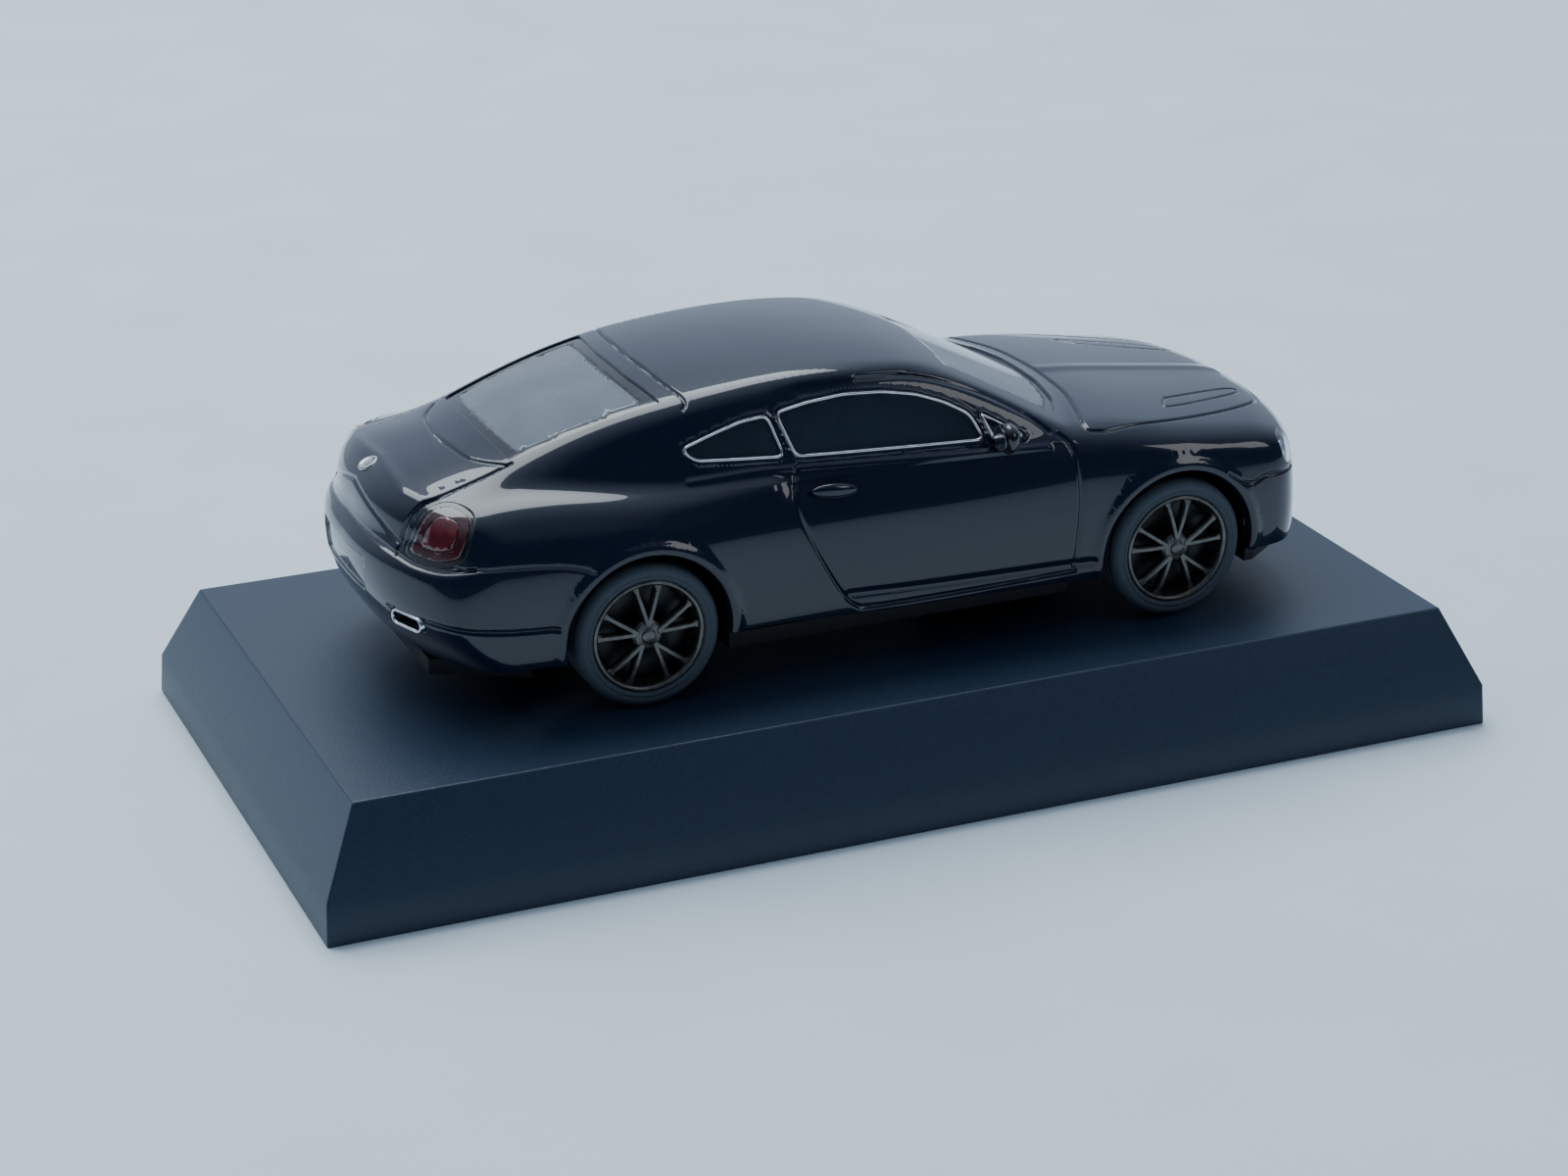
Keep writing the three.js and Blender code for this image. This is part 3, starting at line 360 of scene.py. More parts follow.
def lamp_axes(lamp):
    """The directions that a lamp faces, and runs across and up."""
    facing = np.array(lamp["facing"]) / np.linalg.norm(lamp["facing"])
    across = np.cross([0, 0, 1], facing)
    across /= np.linalg.norm(across)
    return facing, across, np.cross(facing, across)


def from_centre(lamp, p):
    return np.stack([p[:, 0], np.abs(p[:, 1]), p[:, 2]], 1) - np.array(lamp["centre"])


def lamp_field(lamp):
    """Negative inside a lamp's rounded outline, measured in the plane that it faces."""
    facing, across, up = lamp_axes(lamp)

    def field(p):
        q = from_centre(lamp, p)
        wide, tall = lamp["across"], lamp["up"]
        radius = (np.abs(q @ across / wide) ** 2.5 + np.abs(q @ up / tall) ** 2.5) ** 0.4
        return np.where(np.abs(q @ facing) < LAMP_REACH, (radius - 1) * min(wide, tall), FAR)

    return field


TAIL_LAMP_OUTLINE = [
    (-35.2, 9.0, 12.5), (-34.7, 8.9, 13.8), (-33.9, 9.4, 15.7), (-33.0, 10.0, 16.4), (-32.0, 10.8, 16.3),
    (-31.2, 11.7, 15.7), (-31.2, 12.3, 14.8), (-31.9, 12.8, 13.6), (-32.6, 12.7, 12.6), (-34.1, 11.3, 12.15),
]


def tail_lamp_field(grow):
    """Negative inside the tail lamp's own outline, seen square on."""
    facing, across, up = lamp_axes(TAIL_LAMP)
    plane = np.stack([across, up], 1)
    edge = smooth_path((np.array(TAIL_LAMP_OUTLINE) - TAIL_LAMP["centre"]) @ plane, closed=True, steps=5)

    def field(p):
        q = from_centre(TAIL_LAMP, p)
        return np.where(np.abs(q @ facing) < LAMP_REACH, signed_distance(edge, q @ plane) - grow, FAR)

    return field


def outline_field(path, view, region):
    def field(p):
        return np.where(region(p), signed_distance(path, view(p)), FAR)

    return field


def arch_field(p):
    flat = from_side(p)
    rings = [np.linalg.norm(flat - np.array([x, AXLE_HEIGHT]), axis=1) for x in (FRONT_AXLE_X, REAR_AXLE_X)]
    return np.where(on_side(p), np.minimum(*rings) - ARCH_RADIUS, FAR)


def plate_field(p):
    return np.where(on_tail(p), signed_distance(PLATE, from_end(p)), FAR)


def below_field(p):
    return p[:, 2] - np.interp(p[:, 0], BELOW[:, 0], BELOW[:, 1])


def exhaust_field(p):
    q = from_end(p) - np.array([EXHAUST["y"], EXHAUST["z"]])
    q[:, 0] = np.maximum(np.abs(q[:, 0]) - EXHAUST["half_width"] + EXHAUST["half_height"], 0)
    return np.where(on_tail(p), np.linalg.norm(q, axis=1) - EXHAUST["half_height"] - 0.12, FAR)


HOLES = {
    "below": below_field,
    "arches": arch_field,
    "door glass": outline_field(DOOR_GLASS, from_side, on_side),
    "quarter glass": outline_field(QUARTER_GLASS, from_side, on_side),
    "front triangle": outline_field(FRONT_TRIANGLE, from_side, on_side),
    "windscreen": outline_field(WINDSCREEN, from_above, on_front_top),
    "rear window": outline_field(REAR_WINDOW, from_above, on_rear_top),
    "main grille": outline_field(MAIN_GRILLE, from_end, on_nose),
    "lower grille": outline_field(LOWER_GRILLE, from_end, on_nose),
    "tail lamp": tail_lamp_field(0),
    "outer lamp": lamp_field(OUTER_LAMP),
    "inner lamp": lamp_field(INNER_LAMP),
    "exhaust": exhaust_field,
}

SIDE_VIEW = (from_side, on_side)
TOP_VIEW = (from_above, on_top)
TAIL_VIEW = (from_end, on_tail)
# Shut lines and creases: view, half-width, height (a groove's is negative) and path.
LINES = {
    "haunch": (SIDE_VIEW, 0.95, 0.26, [
        (-32.2, 15.0), (-29, 15.3), (-25, 15.3), (-20, 15.05), (-14, 14.85), (-9, 14.75)]),
    "belt": (SIDE_VIEW, 0.3, 0.12, [
        (-15.0, 15.8), (-10, 15.95), (-6.8, 15.8), (0, 15.45), (8, 15.0), (13.2, 14.75)]),
    "door front": (SIDE_VIEW, 0.17, -0.16, [
        (14.2, 15.5), (14.9, 14.9), (15.3, 13.4), (15.4, 10.3), (15.2, 6.9), (15.0, 5.3)]),
    "door rear and sill": (SIDE_VIEW, 0.17, -0.16, [
        (-6.8, 16.0), (-7.3, 13.4), (-6.3, 10.5), (-4.3, 6.8), (-2.9, 5.2), (-1.2, 4.85), (6, 4.8),
        (15.2, 5.0)]),
    "door bottom": (SIDE_VIEW, 0.5, -0.14, [(-3.4, 6.1), (4.2, 5.75), (16.6, 5.5)]),
    "rear bumper seam": (SIDE_VIEW, 0.15, -0.12, [
        (-33.2, 12.3), (-29, 12.15), (-25.5, 11.85), (-23.2, 11.2)]),
    "rear valance": (SIDE_VIEW, 0.22, -0.14, [
        (-36.2, 8.2), (-34.1, 8.1), (-31.7, 7.8), (-29.2, 7.5), (-26.0, 7.3)]),
    "front bumper seam": (SIDE_VIEW, 0.16, -0.14, [
        (27.9, 11.0), (29.2, 10.2), (30.2, 9.95), (31.4, 10.35), (34.2, 10.3)]),
    "windscreen pillar": (SIDE_VIEW, 0.2, -0.14, [
        (-1, 21.1), (3.6, 20.65), (8.2, 19.1), (11.9, 17.1), (13.6, 15.7)]),
    "boot lid bottom": (TAIL_VIEW, 0.18, -0.16, [
        (0, 12.7), (5, 12.5), (8, 12.2), (10, 11.9), (12, 11.9), (13.6, 12.3)]),
    "boot lid crease": (TAIL_VIEW, 0.17, -0.14, [(0, 15.25), (2.6, 14.75), (5.2, 13.95), (7.7, 12.9)]),
    "boot lid end": (TAIL_VIEW, 0.17, -0.16, [(8.45, 16.0), (8.25, 14.9), (8.0, 13.6), (7.95, 12.3)]),
    "boot lid side": (TOP_VIEW, 0.17, -0.16, [(-26.9, 7.9), (-29.2, 8.0), (-31.9, 8.3), (-34.3, 8.5)]),
    "boot lid front": (TOP_VIEW, 0.17, -0.15, [(-29.8, 0), (-29.7, 1.6), (-29.1, 5.1), (-27.3, 7.8)]),
    "roof rear": (TOP_VIEW, 0.16, -0.2, [
        (-15.0, 0), (-14.9, 2), (-14.7, 5.5), (-14.2, 9.0), (-14.5, 9.7)]),
    "bonnet side": (TOP_VIEW, 0.16, -0.15, [
        (16.9, 11.0), (16.8, 12.1), (17.6, 12.45), (19.4, 12.4), (25.2, 11.3), (31.0, 9.4), (34.2, 7.4),
        (35.3, 4.5), (35.5, 0)]),
    "bonnet rear": (TOP_VIEW, 0.18, -0.18, [(16.9, 11.0), (17.6, 8.6), (18.3, 5.4), (18.6, 0)]),
    "bonnet vent": (TOP_VIEW, 0.13, -0.1, [
        (26.1, 7.4), (33.0, 5.3), (32.6, 6.5), (25.5, 9.1), (26.1, 7.4)]),
    "bonnet crease": (TOP_VIEW, 0.9, 0.12, [(19.5, 0), (34.5, 0)]),
    "boot lip": (TOP_VIEW, 0.7, 0.16, [(-34.2, 0), (-34.4, 3), (-34.2, 6), (-33.6, 8)]),
}


SIDE_WINDOWS = ("door glass", "quarter glass", "front triangle")


def ridge(distance, centre, half_width):
    """A smooth crest of height 1 along a line at a distance from an opening's edge."""
    t = np.clip(1 - np.abs(distance - centre) / half_width, 0, 1)
    return t * t * (3 - 2 * t)


def relief(points):
    """Height of shut lines, creases and flanges above the plain surface."""
    height = np.zeros(len(points))
    for (view, region), half_width, line_height, path in LINES.values():
        near = np.flatnonzero(region(points))
        curve = smooth_path(path, steps=6)
        distance = distance_to(curve, view(points[near])) / half_width
        height[near] += line_height * np.exp(-(distance**2) * 1.6) * (distance < 3)
    height += 0.2 * ridge(arch_field(points), 0.3, 0.75)
    height -= 0.22 * np.clip(-plate_field(points) / 0.16 + 0.5, 0, 1)
    for name in SIDE_WINDOWS:
        height += 0.1 * ridge(HOLES[name](points), 0.22, 0.3)
    return height


def relief_normals(points, normals, height):
    """The plain surface's normals leaned over by the slope of the relief."""
    step = 0.03
    aside = np.cross(normals, [0.3, 0.2, 0.93])
    aside /= np.linalg.norm(aside, axis=1, keepdims=True)
    ahead = np.cross(normals, aside)
    leaned = normals.copy()
    for way in (aside, ahead):
        slope = (relief(points + way * step) - height) / step
        leaned -= way * slope[:, None]
    return leaned / np.linalg.norm(leaned, axis=1, keepdims=True)


FINEST_EDGE = 0.13
COARSEST_EDGE = 0.85
EDGE_GROWTH = 0.4
EDGE_SLACK = 1.35


def detail_size(points):
    """The edge length wanted at each point: fine beside lines and openings."""
    nearest = np.full(len(points), 9.0)
    for (view, region), half_width, _, path in LINES.values():
        near = np.flatnonzero(region(points))
        curve = smooth_path(path, steps=4)
        distance = np.maximum(distance_to(curve, view(points[near])) - half_width, 0)
        nearest[near] = np.minimum(nearest[near], distance + 0.15 * (half_width > 0.4))
    for field in HOLES.values():
        nearest = np.minimum(nearest, np.abs(field(points)) + 0.03)
    nearest = np.minimum(nearest, np.abs(plate_field(points)))
    return np.clip(FINEST_EDGE + EDGE_GROWTH * nearest, FINEST_EDGE, COARSEST_EDGE)


# --- triangle mesh on the surface


# How a triangle splits by its number of marked edges: corners are 0 to 2 and middles 3 to 5.
SPLITS = {
    1: [(0, 3, 2), (3, 1, 2)],
    2: [(3, 1, 4), (0, 3, 4), (0, 4, 2)],
    3: [(0, 3, 5), (3, 1, 4), (5, 4, 2), (3, 4, 5)],
}


def split_edges(points, triangles, marked, positions):
    """Splits the marked edges at the given positions; every neighbour follows, so no gaps open."""
    pairs = np.sort(triangles[:, [[0, 1], [1, 2], [2, 0]]].reshape(-1, 2), axis=1)
    edges, inverse = np.unique(pairs, axis=0, return_inverse=True)
    of_triangle = inverse.reshape(-1, 3)
    cut = marked(points, edges, of_triangle)
    if not cut.any():
        return points, triangles, False
    label = np.full(len(edges), -1)
    label[cut] = len(points) + np.arange(cut.sum())
    points = np.vstack([points, positions(points, edges[cut])])
    middles = label[of_triangle]
    count = (middles >= 0).sum(1)
    done = [triangles[count == 0]]
    for number, pieces in SPLITS.items():
        rows = np.flatnonzero(count == number)
        if not len(rows):
            continue
        has = middles[rows] >= 0
        start = (np.argmin(has, 1) + 1) % 3 if number == 2 else np.argmax(has, 1)
        turn = (start[:, None] + np.arange(3)) % 3
        corners = np.take_along_axis(triangles[rows], turn, 1)
        six = np.hstack([corners, np.take_along_axis(middles[rows], turn, 1)])
        done += [six[:, list(piece)] for piece in pieces]
    return points, np.vstack(done), True


def cast(starts, directions):
    """Where rays from inside leave the body surface."""
    longest = 40
    high = np.full(len(starts), float(longest))
    left = np.zeros(len(starts), bool)
    for t in range(1, longest + 1):
        fresh = (body_field(starts + directions * t) > 0) & ~left
        high[fresh] = t
        left |= fresh
    low = np.where(left, high - 1, 0)
    for _ in range(18):
        mid = (low + high) / 2
        outside = body_field(starts + directions * mid[:, None]) > 0
        high = np.where(outside, mid, high)
        low = np.where(outside, low, mid)
    return starts + directions * ((low + high) / 2)[:, None]


SPINE_END_X = 25.0
SPINE_Z = 9.0
TILTS = [122, 112, 103, 95, 88, 81, 75, 69, 64, 59, 54, 50, 46, 42, 37, 30, 22, 14, 7]
SPINE_STEPS = 40
FAN_STEPS = 10


def coarse_half():
    """Rays fan out from a spine in the middle of the body, row by row up to the ridge."""
    fan = np.linspace(0, math.pi / 2, FAN_STEPS)
    plan = [(SPINE_END_X, math.cos(a), -math.sin(a)) for a in fan[:-1]]
    plan += [(x, 0.0, -1.0) for x in np.linspace(SPINE_END_X, -SPINE_END_X, SPINE_STEPS)]
    plan += [(-SPINE_END_X, -math.sin(a), -math.cos(a)) for a in fan[1:]]
    starts, directions = [], []
    for tilt in np.radians(TILTS):
        for x, forward, left in plan:
            starts.append((x, 0, SPINE_Z))
            directions.append((forward * math.sin(tilt), left * math.sin(tilt), math.cos(tilt)))
    columns = len(plan)
    ridge = []
    for x, _, _ in plan:
        if ridge and starts[-1][0] == x and abs(x) == SPINE_END_X:
            ridge.append(len(starts) - 1)
            continue
        starts.append((x, 0, SPINE_Z))
        directions.append((0, 0, 1))
        ridge.append(len(starts) - 1)
    points = cast(np.array(starts, float), np.array(directions, float))
    points[np.abs(points[:, 1]) < 1e-6, 1] = 0
    rows = [[r * columns + i for i in range(columns)] for r in range(len(TILTS))] + [ridge]
    triangles = []
    for low, high in zip(rows, rows[1:]):
        for i in range(columns - 1):
            triangles += [(low[i], high[i], high[i + 1]), (low[i], high[i + 1], low[i + 1])]
    return points, np.array([t for t in triangles if len(set(t)) == 3])


def too_long(points, edges, of_triangle):
    """Edges longer than their place wants, and the longest edge of each triangle that has one."""
    a, b = points[edges[:, 0]], points[edges[:, 1]]
    length = np.linalg.norm(a - b, axis=1)
    cut = length > detail_size((a + b) / 2) * EDGE_SLACK
    longest = of_triangle[np.arange(len(of_triangle)), np.argmax(length[of_triangle], 1)]
    for _ in range(12):
        before = cut.sum()
        cut[longest[cut[of_triangle].any(1)]] = True
        if cut.sum() == before:
            break
    return cut


def surface_middles(points, edges):
    a, b = points[edges[:, 0]], points[edges[:, 1]]
    middles = settle((a + b) / 2)
    middles[(a[:, 1] == 0) & (b[:, 1] == 0), 1] = 0
    return middles


def half_body():
    """The right half of the body's surface: even triangles, finer beside its details."""
    points, triangles = coarse_half()
    for _ in range(9):
        points, triangles, changed = split_edges(points, triangles, too_long, surface_middles)
        if not changed:
            break
    return points, triangles


SNAP = 0.012


def clipped(points, triangles, field, keep_inside=False):
    """Cuts the mesh along field = 0 and keeps one side, with vertices exactly on the edge."""
    value = field(points)
    value = np.where(np.abs(value) < SNAP, 0, value)

    def marked(_, edges, __):
        return value[edges[:, 0]] * value[edges[:, 1]] < 0

    def positions(points, edges):
        a, b = points[edges[:, 0]], points[edges[:, 1]]
        low, high = np.zeros(len(edges)), np.ones(len(edges))
        sign = np.sign(value[edges[:, 0]])
        for _ in range(12):
            mid = (low + high) / 2
            same = np.sign(field(a + (b - a) * mid[:, None])) == sign
            low, high = np.where(same, mid, low), np.where(same, high, mid)
        found = a + (b - a) * ((low + high) / 2)[:, None]
        flat = (a[:, 1] == 0) & (b[:, 1] == 0)
        found[~flat] = settle(found[~flat], 1)
        return found

    before = len(points)
    points, triangles, _ = split_edges(points, triangles, marked, positions)
    value = np.concatenate([value, np.zeros(len(points) - before)])
    total = value[triangles].sum(1)
    keep = total < 0 if keep_inside else total > 0
    flat = (value[triangles] == 0).all(1)
    if flat.any():
        centre = field(points[triangles[flat]].mean(1))
        keep[flat] = centre < 0 if keep_inside else centre > 0
    return compact(points, triangles[keep])


def compact(points, triangles):
    used, index = np.unique(triangles, return_inverse=True)
    return points[used], index.reshape(-1, 3)


def boundary(points, triangles):
    """The directed edges that only one triangle has, leaving out the middle seam."""
    edges = triangles[:, [[0, 1], [1, 2], [2, 0]]].reshape(-1, 2)
    key = np.sort(edges, axis=1)
    _, index, counts = np.unique(key, axis=0, return_index=True, return_counts=True)
    open_edges = edges[index[counts == 1]]
    return open_edges[~(points[open_edges][:, :, 1] == 0).all(1)]


def with_returns(points, triangles, normals, shading, rings):
    """Turns open edges inwards; a ring is (reach into the opening, depth, lean of its normal)."""
    edges = boundary(points, triangles)
    out = np.zeros_like(points)
    direction = points[edges[:, 1]] - points[edges[:, 0]]
    direction /= np.maximum(np.linalg.norm(direction, axis=1, keepdims=True), 1e-9)
    for end in (0, 1):
        np.add.at(out, edges[:, end], np.cross(direction, normals[edges[:, end]]))
    out /= np.maximum(np.linalg.norm(out, axis=1, keepdims=True), 1e-9)
    used = np.unique(edges)
    out[used[points[used, 1] == 0], 1] = 0
    current = np.arange(len(points))
    stack, faces, facings = [points], [triangles], [shading]
    total = len(points)
    for outward, depth, lean in rings:
        ring = np.full(len(points), -1)
        ring[used] = total + np.arange(len(used))
        moved = points[used] + out[used] * outward - normals[used] * depth
        moved[points[used, 1] == 0, 1] = 0
        stack.append(moved)
        facings.append(normals[used] * (1 - lean) + out[used] * lean)
        total += len(used)
        a, b = current[edges[:, 0]], current[edges[:, 1]]
        c, d = ring[edges[:, 1]], ring[edges[:, 0]]
        faces += [np.stack([b, a, d], 1), np.stack([b, d, c], 1)]
        current = ring
    return np.vstack(stack), np.vstack(faces), np.vstack(facings)


def both_halves(points, triangles):
    """Mirrors a right half across y = 0 and joins it along the seam."""
    on_seam = points[:, 1] == 0
    index = np.where(on_seam, np.arange(len(points)), len(points) + np.cumsum(~on_seam) - 1)
    other = points[~on_seam] * [1, -1, 1]
    return np.vstack([points, other]), np.vstack([triangles, index[triangles][:, ::-1]])


def thick(points, triangles, normals, lift, depth):
    """A closed skin between two offsets of a surface patch."""
    rim = boundary(points, triangles)
    count = len(points)
    low = rim + count
    sides = [np.stack([rim[:, 1], rim[:, 0], low[:, 0]], 1), np.stack([rim[:, 1], low[:, 0], low[:, 1]], 1)]
    layers = np.vstack([points + normals * lift, points + normals * (lift - depth)])
    return layers, np.vstack([triangles, triangles[:, ::-1] + count] + sides)


# --- materials


def set_inputs(node, **values):
    for key, value in values.items():
        node.inputs[key.replace("_", " ")].default_value = value


def colour_ramp(nodes, dark, light):
    """A ramp between two (position, colour) stops."""
    ramp = nodes.new("ShaderNodeValToRGB")
    for element, (position, colour) in zip(ramp.color_ramp.elements, (dark, light)):
        element.position = position
        element.color = (*colour, 1)
    return ramp


def material(name, dark, light, roughness, scale, bump=0.0, metallic=0.0, **inputs):
    """A Principled surface whose colour, roughness and relief follow noise of the given grain (1/m)."""
    m = bpy.data.materials.new(name)
    m.use_nodes = True
    nodes, links = m.node_tree.nodes, m.node_tree.links
    shader = nodes["Principled BSDF"]
    set_inputs(shader, Metallic=metallic, **inputs)
    place = nodes.new("ShaderNodeTexCoord")
    noise = nodes.new("ShaderNodeTexNoise")
    set_inputs(noise, Scale=scale, Detail=4)
    links.new(place.outputs["Object"], noise.inputs["Vector"])
    ramp = colour_ramp(nodes, (0.35, dark), (0.7, light))
    links.new(noise.outputs["Fac"], ramp.inputs["Fac"])
    links.new(ramp.outputs["Color"], shader.inputs["Base Color"])
    spread = nodes.new("ShaderNodeMapRange")
    set_inputs(spread, From_Min=0.3, From_Max=0.7, To_Min=roughness[0], To_Max=roughness[1])
    links.new(noise.outputs["Fac"], spread.inputs["Value"])
    links.new(spread.outputs["Result"], shader.inputs["Roughness"])
    if bump:
        grain = nodes.new("ShaderNodeBump")
        set_inputs(grain, Strength=bump, Distance=0.05 * MM)
        links.new(noise.outputs["Fac"], grain.inputs["Height"])
        links.new(grain.outputs["Normal"], shader.inputs["Normal"])
    return m


PAINT = material("navy_paint", (0.002, 0.0055, 0.016), (0.003, 0.008, 0.023), (0.24, 0.27), 2600,
                 Specular_IOR_Level=0.12, Coat_Weight=1.0, Coat_Roughness=0.012, Coat_IOR=1.5)
BLACK = material("black_plastic", (0.006, 0.006, 0.007), (0.012, 0.012, 0.013), (0.42, 0.55), 1800, bump=0.25)
GLOSS = material("gloss_black", (0.003, 0.003, 0.004), (0.006, 0.006, 0.008), (0.1, 0.16), 900,
                 Coat_Weight=0.6, Coat_Roughness=0.03)
BASE = material("base_plastic", (0.008, 0.022, 0.046), (0.012, 0.029, 0.059), (0.36, 0.46), 5200, bump=0.4)
# Dark interior plastic, its colour lifted lighter and bluish as painted light for the light that the glass
# keeps out of the cabin.
CABIN_WITH_PAINTED_FILL = material("cabin_plastic", (0.03, 0.038, 0.05), (0.05, 0.06, 0.075), (0.5, 0.65), 2400, bump=0.4)
# Dark rubber, its colour lifted to blue-grey as painted light for the ambient light on the shaded tyres.
RUBBER_WITH_PAINTED_FILL = material("tyre_rubber", (0.045, 0.06, 0.078), (0.06, 0.078, 0.1), (0.6, 0.78), 3000, bump=0.5)
GUNMETAL = material("rim_gunmetal", (0.1, 0.098, 0.09), (0.16, 0.155, 0.145), (0.26, 0.36), 2200,
                    metallic=0.9, bump=0.1)
SILVER = material("bright_trim", (0.62, 0.63, 0.65), (0.8, 0.81, 0.83), (0.12, 0.22), 1500, metallic=1.0)
STEEL = material("steel", (0.35, 0.35, 0.36), (0.5, 0.5, 0.51), (0.3, 0.42), 1800, metallic=1.0, bump=0.15)
# Windscreen and rear window: the pale colour of the part that isn't clear is a painted reflection of the
# bright ceiling.
SCREEN = material("screen_plastic_painted_reflection", (0.42, 0.47, 0.52), (0.52, 0.57, 0.62), (0.0, 0.02), 300,
                  Transmission_Weight=0.7, IOR=1.49)
# Side windows: the blue-grey colour of the part that isn't clear is a painted sheen that brightens the panes.
GLASS = material("clear_plastic", (0.14, 0.21, 0.29), (0.19, 0.27, 0.36), (0.0, 0.02), 300,
                 Transmission_Weight=0.9, IOR=1.49)
LENS = material("clear_lens", (0.86, 0.9, 0.95), (0.95, 0.97, 1.0), (0.02, 0.05), 700,
                Transmission_Weight=1.0, IOR=1.49)
RED = material("smoked_red_lens", (0.035, 0.002, 0.003), (0.09, 0.005, 0.006), (0.08, 0.14), 1200,
               Coat_Weight=1.0, Coat_Roughness=0.03, Transmission_Weight=0.25)
RED_BRIGHT = material("red_lamp_core", (0.075, 0.003, 0.006), (0.15, 0.006, 0.01), (0.1, 0.18), 1500,
                      Coat_Weight=1.0, Coat_Roughness=0.04)
TABLE = material("pale_table", (0.69, 0.78, 0.84), (0.72, 0.81, 0.87), (0.5, 0.62), 60, bump=0.05)


# --- objects


UPRIGHT = np.array([0, 0, 1.0])


def linked(name, data):
    piece = bpy.data.objects.new(name, data)
    bpy.context.scene.collection.objects.link(piece)
    return piece


def add(name, points, faces, surface, body=CAR, covers=(), smooth=True):
    """Makes a piece from points in millimetres, with heights above the base's top."""
    mesh = bpy.data.meshes.new(name)
    shifted = (np.asarray(points, float) + [0, 0, GROUND]) * MM
    mesh.from_pydata(shifted.tolist(), [], [list(map(int, f)) for f in faces])
    mesh.materials.append(surface)
    mesh.validate()
    mesh.polygons.foreach_set("use_smooth", [smooth] * len(mesh.polygons))
    piece = linked(name, mesh)
    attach(piece, body)
    if covers:
        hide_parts(*covers)
    return piece


def merge(*parts):
    points, faces, start = [], [], 0
    for part_points, part_faces in parts:
        points.append(np.asarray(part_points, float))
        faces += [[int(i) + start for i in face] for face in part_faces]
        start += len(part_points)
    return np.vstack(points), faces


def lathe(profile, segments=96, closed=True):
    """Turns (radius, height) pairs round Z."""
    rings = []
    for i in range(segments):
        a = 2 * math.pi * i / segments
        rings.append([(r * math.cos(a), r * math.sin(a), h) for r, h in profile])
    count = len(profile)
    faces = []
    for i in range(segments):
        j = (i + 1) % segments
        for k in range(count if closed else count - 1):
            m = (k + 1) % count
            faces.append([i * count + k, j * count + k, j * count + m, i * count + m])
    return np.array(rings).reshape(-1, 3), np.array(faces)


def sweep(path, section, normals, closed=True):
    """Carries a section of (outwards, along normal) pairs round a path of 3-D points."""
    path = np.asarray(path, float)
    ahead, behind = np.roll(path, -1, 0), np.roll(path, 1, 0)
    if not closed:
        ahead[-1], behind[0] = path[-1], path[0]
    tangent = ahead - behind
    tangent /= np.linalg.norm(tangent, axis=1, keepdims=True)
    side = np.cross(tangent, normals)
    side /= np.linalg.norm(side, axis=1, keepdims=True)
    rings = [path + side * a + normals * b for a, b in section]
    points = np.stack(rings, 1).reshape(-1, 3)
    count, faces = len(section), []
    for i in range(len(path) if closed else len(path) - 1):
        j = (i + 1) % len(path)
        for k in range(count):
            m = (k + 1) % count
            faces.append([i * count + k, i * count + m, j * count + m, j * count + k])
    if not closed:
        faces.append(list(range(count))[::-1])
        faces.append([(len(path) - 1) * count + k for k in range(count)])
    return points, faces


def round_section(half_width, half_height, count=10):
    return [(half_width * math.cos(a), half_height * math.sin(a))
            for a in np.linspace(0, 2 * math.pi, count, endpoint=False)]


def ellipsoid(centre, radii, across=28, up=18):
    profile = [(math.sin(a), math.cos(a)) for a in np.linspace(0.02, math.pi - 0.02, up)]
    points, faces = lathe(profile, across, closed=False)
    faces = faces.tolist()
    faces.append([i * up for i in range(across)])
    faces.append([i * up + up - 1 for i in range(across)][::-1])
    return points * np.array(radii) + np.array(centre), faces


def turned(points, axis, degrees, about=(0, 0, 0)):
    turn = np.array(Matrix.Rotation(math.radians(degrees), 3, axis))
    return (np.asarray(points) - about) @ turn.T + about


def resampled(path, step, closed=True):
    """Even points along a polyline."""
    whole = np.vstack([path, path[:1]]) if closed else np.asarray(path)
    lengths = np.concatenate([[0], np.cumsum(np.linalg.norm(np.diff(whole, axis=0), axis=1))])
    count = max(int(lengths[-1] / step), 4)
    places = np.linspace(0, lengths[-1], count, endpoint=not closed)
    return np.stack([np.interp(places, lengths, whole[:, k]) for k in range(whole.shape[1])], 1)


def projected(start, direction, far):
    """Where straight lines from inside leave the body."""
    low, high = np.zeros(len(start)), np.full(len(start), far)
    for _ in range(30):
        mid = (low + high) / 2
        outside = body_field(start + direction * mid[:, None]) > 0
        high, low = np.where(outside, mid, high), np.where(outside, low, mid)
    return start + direction * mid[:, None]


def side_points(path):
    """Points of an (x, z) path on the right side of the body."""
    start = np.stack([path[:, 0], np.full(len(path), -4.0), path[:, 1]], 1)
    return projected(start, np.array([0, -1.0, 0]), 14)


def mirrored(points, faces):
    other = np.asarray(points) * [1, -1, 1]
    return other, [list(f)[::-1] for f in faces]


